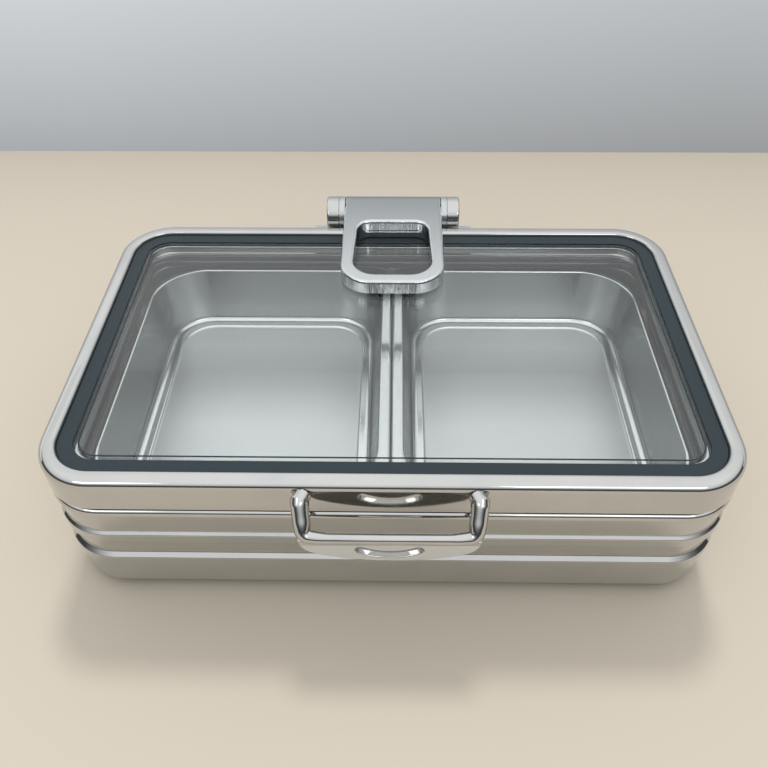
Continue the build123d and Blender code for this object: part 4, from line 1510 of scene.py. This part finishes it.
class WARMER_OT_handle(bpy.types.Operator):
    """Build the handle: stubs, sloping legs and the slotted grip with its rounded bar"""
    bl_idname = "warmer.handle"
    bl_label = "Handle"

    def tube(self, size):
        """Stubs, sloping legs and rounded bar, as one bent tube that is flattened at the front."""
        runs = []
        for side in (-1, 1):
            root = Vector((side * size.root_x, size.root_y + size.root_bite, size.root_z))
            elbow = Vector((side * size.elbow_x, size.root_y - size.elbow_out, size.root_z))
            foot = Vector((side * size.foot_x, size.grip_y + size.foot_set_back, size.bar_z))
            lead_x, lead_y = size.foot_x - size.bar_lead, size.grip_y + size.bar_set_back
            lead = Vector((side * lead_x, lead_y, size.bar_z))
            middle = Vector((0, size.grip_y, size.bar_z))
            bends = [0, size.foot_bend, size.bar_bend]
            runs.append(bent_path([root, elbow, foot, lead, middle], bends))
        path = runs[0] + runs[1][-2::-1]
        total = [0.0]
        for here, after in zip(path, path[1:]):
            total.append(total[-1] + (after - here).length)
        elbow_at = (elbow - root).length
        foot_at = elbow_at + (foot - elbow).length
        widths = [
            (0, size.root_radius), (elbow_at - size.neck, size.root_radius),
            (elbow_at, size.leg_radius),
            (foot_at - size.taper_before, size.leg_radius * size.foot_share),
            (foot_at + size.taper_after, size.bar_end), (total[-1] / 2, size.bar_middle),
        ]
        turns = [(foot_at - size.turn_before, 0.0), (foot_at + size.turn_after, 1.0)]
        front = size.grip_y - size.bar_middle
        leg_face, bar_face = Vector((0, 0.707, -0.707)), Vector((0, 1, 0))
        rings = []
        for index, point in enumerate(path):
            ahead = (path[min(index + 1, len(path) - 1)] - path[max(index - 1, 0)]).normalized()
            along = min(total[index], total[-1] - total[index])
            upright = blend_value(turns, along)
            across = ahead.cross(leg_face.lerp(bar_face, upright)).normalized()
            face = across.cross(ahead).normalized()
            wide = blend_value(widths, along)
            point = point + Vector((0, 0, upright * (size.bar_middle - wide)))
            room = (point.y - front) ** 2 - (wide * across.y) ** 2
            deep = min(wide, sqrt(max(room, HAIR ** 2)) / abs(face.y))
            rings.append([
                point + across * (wide * x) + face * (deep * y) for x, y in circle(1.0, TUBE_STEPS)
            ])
        return ring_shell(rings)

    def plate(self, context, size):
        """Slotted grip plate with rounded edges."""
        curve = bpy.data.curves.new("grip_plate", "CURVE")
        curve.dimensions = "2D"
        curve.fill_mode = "BOTH"
        curve.extrude = size.grip_thickness / 2 - size.edge
        curve.bevel_depth = size.edge
        curve.bevel_resolution = BEVEL_STEPS
        curve.offset = -size.edge
        closed_line(curve, plate_outline(size))
        closed_line(curve, slot_outline(size))
        guide = add_object("grip_plate", curve)
        context.view_layer.update()
        evaluated = guide.evaluated_get(context.evaluated_depsgraph_get())
        mesh = bpy.data.meshes.new_from_object(evaluated)
        bpy.data.objects.remove(guide)
        mesh.transform(Matrix.Translation((0, size.grip_y, 0)) @ Matrix.Rotation(pi / 2, 4, "X"))
        return mesh

    def execute(self, context):
        size = context.scene.warmer_handle
        whole = bmesh.new()
        whole.from_mesh(self.plate(context, size))
        tidy_shell(whole)
        whole.from_mesh(mesh_of("tube", self.tube(size)))
        name = "handle_grip"
        piece = new_piece(name, mesh_of(name, whole), finish("bright_steel"), SHARP_HANDLE)
        below = size.bar_z - size.bar_end
        # The plate's back gets a pale tone of painted light, its front a darker tone of painted
        # shade.
        for material, sign in (("ground_steel", 1), ("grip_steel", -1)):
            recoat(piece, finish(material),
                   lambda face: sign * face.normal.y > FLAT and face.center.z < below)
        settle(piece, "lid", "polished_steel", "handle")
        return {"FINISHED"}


def ring_of(kind, across, height):
    """One level of a fastener: round, or a hexagon with this distance across its flats."""
    ring = []
    for x, y in circle(across / 2, FASTENER_STEPS):
        grow = 1.0
        if kind == "hex":
            grow = 1 / cos((atan2(y, x) + pi / 6) % (pi / 3) - pi / 6)
        ring.append(Vector((x * grow, y * grow, height)))
    return ring


def facing(shape, axis):
    """A fastener's mesh turned so that its own Z points along +Y or -Y; along +Z it stays."""
    if axis != "+Z":
        turn = Matrix.Rotation(-pi / 2 if axis == "+Y" else pi / 2, 4, "X")
        bmesh.ops.transform(shape, verts=shape.verts, matrix=turn)
    return shape


def depth_of(node):
    """Length of a solid from front to back."""
    low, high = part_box(node)
    return high.y - low.y


class WARMER_OT_fasteners(bpy.types.Operator):
    """Build the cap nuts, spacers, studs, socket screws, washers and pads"""
    bl_idname = "warmer.fasteners"
    bl_label = "Fasteners"

    def screw(self, size, long):
        """A socket screw whose head's face lies at the origin and whose shank points up."""
        head, tall, shank = 2 * size.head_radius, size.head_height, 2 * size.screw_radius
        edge = size.head_edge
        return ring_shell([ring_of(*level) for level in (
            ("hex", size.key, size.key_depth), ("hex", size.key, HAIR),
            ("round", size.key_mouth, 0), ("round", head - 2 * edge, 0),
            ("round", head, edge), ("round", head, tall),
            ("round", shank, tall), ("round", shank, long - size.tip),
            ("round", shank - 2 * size.tip_edge, long),
        )])

    def washer(self, outer, bore, thick):
        """A flat ring with lightly broken edges, standing on the origin."""
        edge = thick * WASHER_EDGE
        return ring_shell([ring_of("round", 2 * radius, height) for radius, height in (
            (bore, 0), (outer - edge, 0), (outer, edge), (outer, thick - edge),
            (outer - edge, thick), (bore, thick), (bore, 0),
        )], closed=False)

    def nut(self, size):
        """A cap nut: chamfered hexagon and a dome."""
        across, tall = size.nut_across, size.nut_height
        steps = [
            ("hex", across - size.nut_foot, 0), ("hex", across, size.nut_rise),
            ("hex", across, tall - size.nut_shoulder), ("round", across - size.nut_collar, tall),
        ]
        for step in range(DOME_STEPS):
            angle = pi / 2 * step / DOME_STEPS
            height = tall + size.nut_dome * sin(angle)
            steps.append(("round", 2 * size.nut_dome * cos(angle), height))
        return ring_shell([ring_of(*level) for level in steps])

    def spacer(self, size):
        """A spacer as long as its solid, standing on the origin."""
        bore = size.stud_radius + size.spacer_clearance
        return self.washer(size.spacer_radius, bore, depth_of("bracket_spacers"))

    def stud(self, size):
        """A weld stud as long as its solid, with a chamfered end."""
        radius, edge, long = size.stud_radius, size.stud_edge, depth_of("bracket_studs")
        return turned([(radius, 0), (radius, long - edge), (radius - edge, long)], STUD_STEPS)

    def execute(self, context):
        size = context.scene.warmer_fasteners
        steel, bore = finish("fastener_steel"), size.screw_radius + size.screw_clearance
        for node, name, shape in (
            ("bracket_nuts", "bracket_cap_nuts", self.nut(size)),
            ("bracket_spacers", "bracket_stand_offs", self.spacer(size)),
            ("bracket_studs", "bracket_weld_studs", self.stud(size)),
        ):
            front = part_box(node)[0].y
            places = [
                (x, front, z)
                for x in (-size.stud_x, size.stud_x) for z in (size.stud_low, size.stud_high)
            ]
            piece = fastened(name, facing(shape, "+Y"), places, steel)
            settle(piece, "base", "fastener_steel", node)
        settle(smooth_copy("cap_grub_screws", steel), "base", "fastener_steel", "cap_grub_screws")
        for node, ending, axis, slot, material in (
            ("frame_screws", "_driven", "+Z", "fastener_steel", steel),
            ("glass_screws", "_driven", "+Z", "fastener_steel", steel),
            ("glass_washers", "_set", "+Z", "fastener_steel", steel),
            ("glass_pads", "_set", "+Z", "clear_pad", finish("pad_rubber")),
            ("handle_screws", "_driven", "-Y", "fastener_steel", steel),
            ("handle_washers", "_set", "+Y", "fastener_steel", steel),
        ):
            low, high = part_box(node)
            span, middle = high - low, (low + high) / 2
            long, across = (span.z, span.y) if axis == "+Z" else (span.y, span.z)
            if ending == "_driven":
                inset, shape = size.head_radius, self.screw(size, long)
            else:
                inset, shape = across / 2, self.washer(across / 2, bore, long)
            foot = {
                "+Z": (middle.y, low.z), "+Y": (low.y, middle.z), "-Y": (high.y, middle.z),
            }[axis]
            places = [(x, *foot) for x in (low.x + inset, high.x - inset)]
            piece = fastened(node + ending, facing(shape, axis), places, material)
            settle(piece, "lid", slot, node)
        return {"FINISHED"}


# Stage


PANELS = (  # Ceiling panels: name, place, width and depth
    ("panel_left", (-1.5, -1.9, 2.0), 1.0, 0.5),
    ("panel_right", (1.1, -2.1, 2.0), 1.3, 0.5),
)
PANEL_TARGET = (0, 0, 0.1)
FLOOR_ROUGHNESS, WALL_ROUGHNESS = 0.6, 0.95
SENSOR = 36.0  # Width of the camera's frame in millimetres


def plain_material(name, tone, roughness):
    """A plain stage material."""
    material = bpy.data.materials.new(name)
    material.use_nodes = True
    surface = material.node_tree.nodes["Principled BSDF"]
    surface.inputs["Base Color"].default_value = opaque(tone)
    surface.inputs["Roughness"].default_value = roughness
    return material


def sheet_object(name, corners, material):
    """A flat stage sheet."""
    mesh = bpy.data.meshes.new(name)
    mesh.from_pydata(corners, [], [(0, 1, 2, 3)])
    mesh.materials.append(material)
    sheet = add_object(name, mesh)


class WARMER_OT_stage(bpy.types.Operator):
    """Set the pale floor, the backdrop, the soft lights and the camera"""
    bl_idname = "warmer.stage"
    bl_label = "Stage"

    def backdrop(self, stage):
        """Wall with a painted glow of light that brightens upward and to the left and painted shade
        darker at its foot, unseen from behind and by lamps.
        """
        wall = plain_material("pale_backdrop", stage.wall, WALL_ROUGHNESS)
        tree = wall.node_tree
        surface = tree.nodes["Principled BSDF"]
        surface.inputs["Specular IOR Level"].default_value = 0.0
        place = add_node(tree, "ShaderNodeTexCoord").outputs["Object"]
        height = mapped(tree, part_of(tree, place, "Z"), 0.0, stage.wall_height)
        glow = ramp(tree, height, (
            (0.0, opaque(stage.wall_low)), (stage.wall_middle_at, opaque(stage.wall_middle)),
            (stage.wall_high_at, opaque(stage.wall_high)),
        ))
        across = mapped(
            tree, part_of(tree, place, "X"), -stage.wall_span, stage.wall_span, stage.wall_left,
            stage.wall_right
        )
        wire(
            tree,
            (glow.outputs["Color"], surface.inputs["Emission Color"]),
            (across, surface.inputs["Emission Strength"]),
        )
        behind = add_node(tree, "ShaderNodeNewGeometry").outputs["Backfacing"]
        shadow = add_node(tree, "ShaderNodeLightPath").outputs["Is Shadow Ray"]
        let_through(wall, math_node(tree, "MAXIMUM", behind, shadow))
        return wall

    def world(self, stage):
        """Soft sky over a darker band at the horizon."""
        world = bpy.data.worlds.new("studio")
        world.use_nodes = True
        tree = world.node_tree
        place = add_node(tree, "ShaderNodeTexCoord").outputs["Generated"]
        sky = ramp(tree, part_of(tree, place, "Z"), [(sin(angle), opaque(tone)) for angle, tone in (
            (stage.dark_to, stage.dark), (stage.dusk_at, stage.dusk), (stage.sky_from, stage.sky),
            (stage.sky_to, stage.sky), (stage.high_sky_from, stage.high_sky),
        )])
        background = tree.nodes["Background"]
        background.inputs["Strength"].default_value = stage.strength
        wire(tree, (sky.outputs["Color"], background.inputs["Color"]))
        return world

    def lights(self, stage):
        """Key light from behind and above, and two ceiling panels in front."""
        sun = bpy.data.lights.new("key", "SUN")
        sun.energy, sun.angle, sun.color = stage.key, stage.key_angle, stage.key_tone
        key = add_object("key", sun)
        key.rotation_euler = (-stage.key_lean, stage.key_turn, 0)
        key.visible_glossy = False
        key.visible_transmission = False
        for name, place, width, depth in PANELS:
            lamp = bpy.data.lights.new(name, "AREA")
            lamp.shape = "RECTANGLE"
            lamp.size, lamp.size_y = width, depth
            lamp.energy = stage.panel * width * depth
            light = add_object(name, lamp)
            light.location = place
            ahead = Vector(PANEL_TARGET) - Vector(place)
            light.rotation_euler = ahead.to_track_quat("-Z", "Y").to_euler()

    def camera(self, stage):
        """Camera at its place, turned by yaw and pitch and then rolled."""
        camera = bpy.data.cameras.new("camera")
        camera.lens, camera.sensor_width = stage.lens, SENSOR
        yaw, pitch, roll = stage.yaw, stage.pitch, stage.roll
        ahead = Vector((sin(yaw) * cos(pitch), cos(yaw) * cos(pitch), -sin(pitch)))
        level = Vector((cos(yaw), -sin(yaw), 0.0))
        upright = level.cross(ahead)
        right = level * cos(roll) + upright * sin(roll)
        up = upright * cos(roll) - level * sin(roll)
        turn = Matrix((right, up, -ahead)).transposed().to_4x4()
        view = add_object("camera", camera)
        view.matrix_world = Matrix.Translation(Vector(stage.camera)) @ turn
        return view

    def execute(self, context):
        scene = context.scene
        stage = scene.warmer_stage
        far, y, top = stage.reach, stage.wall_y, stage.wall_height
        floor = plain_material("pale_floor", stage.floor, FLOOR_ROUGHNESS)
        corners = [(-far, -far, 0), (far, -far, 0), (far, far, 0), (-far, far, 0)]
        sheet_object("floor", corners, floor)
        corners = [(-far, y, 0), (far, y, 0), (far, y, top), (-far, y, top)]
        sheet_object("backdrop", corners, self.backdrop(stage))
        scene.world = self.world(stage)
        self.lights(stage)
        scene.camera = self.camera(stage)
        scene.view_settings.view_transform = "Standard"
        return {"FINISHED"}


class WARMER_PT_panel(bpy.types.Panel):
    """The warmer's pieces, one button each"""
    bl_idname = "WARMER_PT_panel"
    bl_label = "Buffet Warmer"
    bl_space_type = "VIEW_3D"
    bl_region_type = "UI"
    bl_category = "Warmer"

    def draw(self, context):
        for operator in OPERATORS:
            self.layout.operator(operator.bl_idname)


GROUPS = {
    "warmer_lid": WarmerLidSizes,
    "warmer_basin": WarmerBasinSizes,
    "warmer_pan": WarmerPanSizes,
    "warmer_hinge": WarmerHingeSizes,
    "warmer_handle": WarmerHandleSizes,
    "warmer_fasteners": WarmerFastenerSizes,
    "warmer_finishes": WarmerFinishes,
    "warmer_stage": WarmerStageSizes,
}
OPERATORS = (
    WARMER_OT_water_pan,
    WARMER_OT_food_pans,
    WARMER_OT_lid_frame,
    WARMER_OT_glazing,
    WARMER_OT_hinge,
    WARMER_OT_handle,
    WARMER_OT_fasteners,
    WARMER_OT_stage,
)


def register():
    """Register the settings, the operators and the panel."""
    for name, group in GROUPS.items():
        bpy.utils.register_class(group)
        setattr(bpy.types.Scene, name, PointerProperty(type=group))
    for item in (*OPERATORS, WARMER_PT_panel):
        bpy.utils.register_class(item)


def unregister():
    """Take the settings, the operators and the panel away again."""
    for item in (WARMER_PT_panel, *reversed(OPERATORS)):
        bpy.utils.unregister_class(item)
    for name, group in reversed(GROUPS.items()):
        delattr(bpy.types.Scene, name)
        bpy.utils.unregister_class(group)


def main():
    """Build every piece and the stage."""
    register()
    bpy.ops.warmer.water_pan()
    bpy.ops.warmer.food_pans()
    bpy.ops.warmer.lid_frame()
    bpy.ops.warmer.glazing()
    bpy.ops.warmer.hinge()
    bpy.ops.warmer.handle()
    bpy.ops.warmer.fasteners()
    bpy.ops.warmer.stage()


if __name__ == "__main__":
    main()
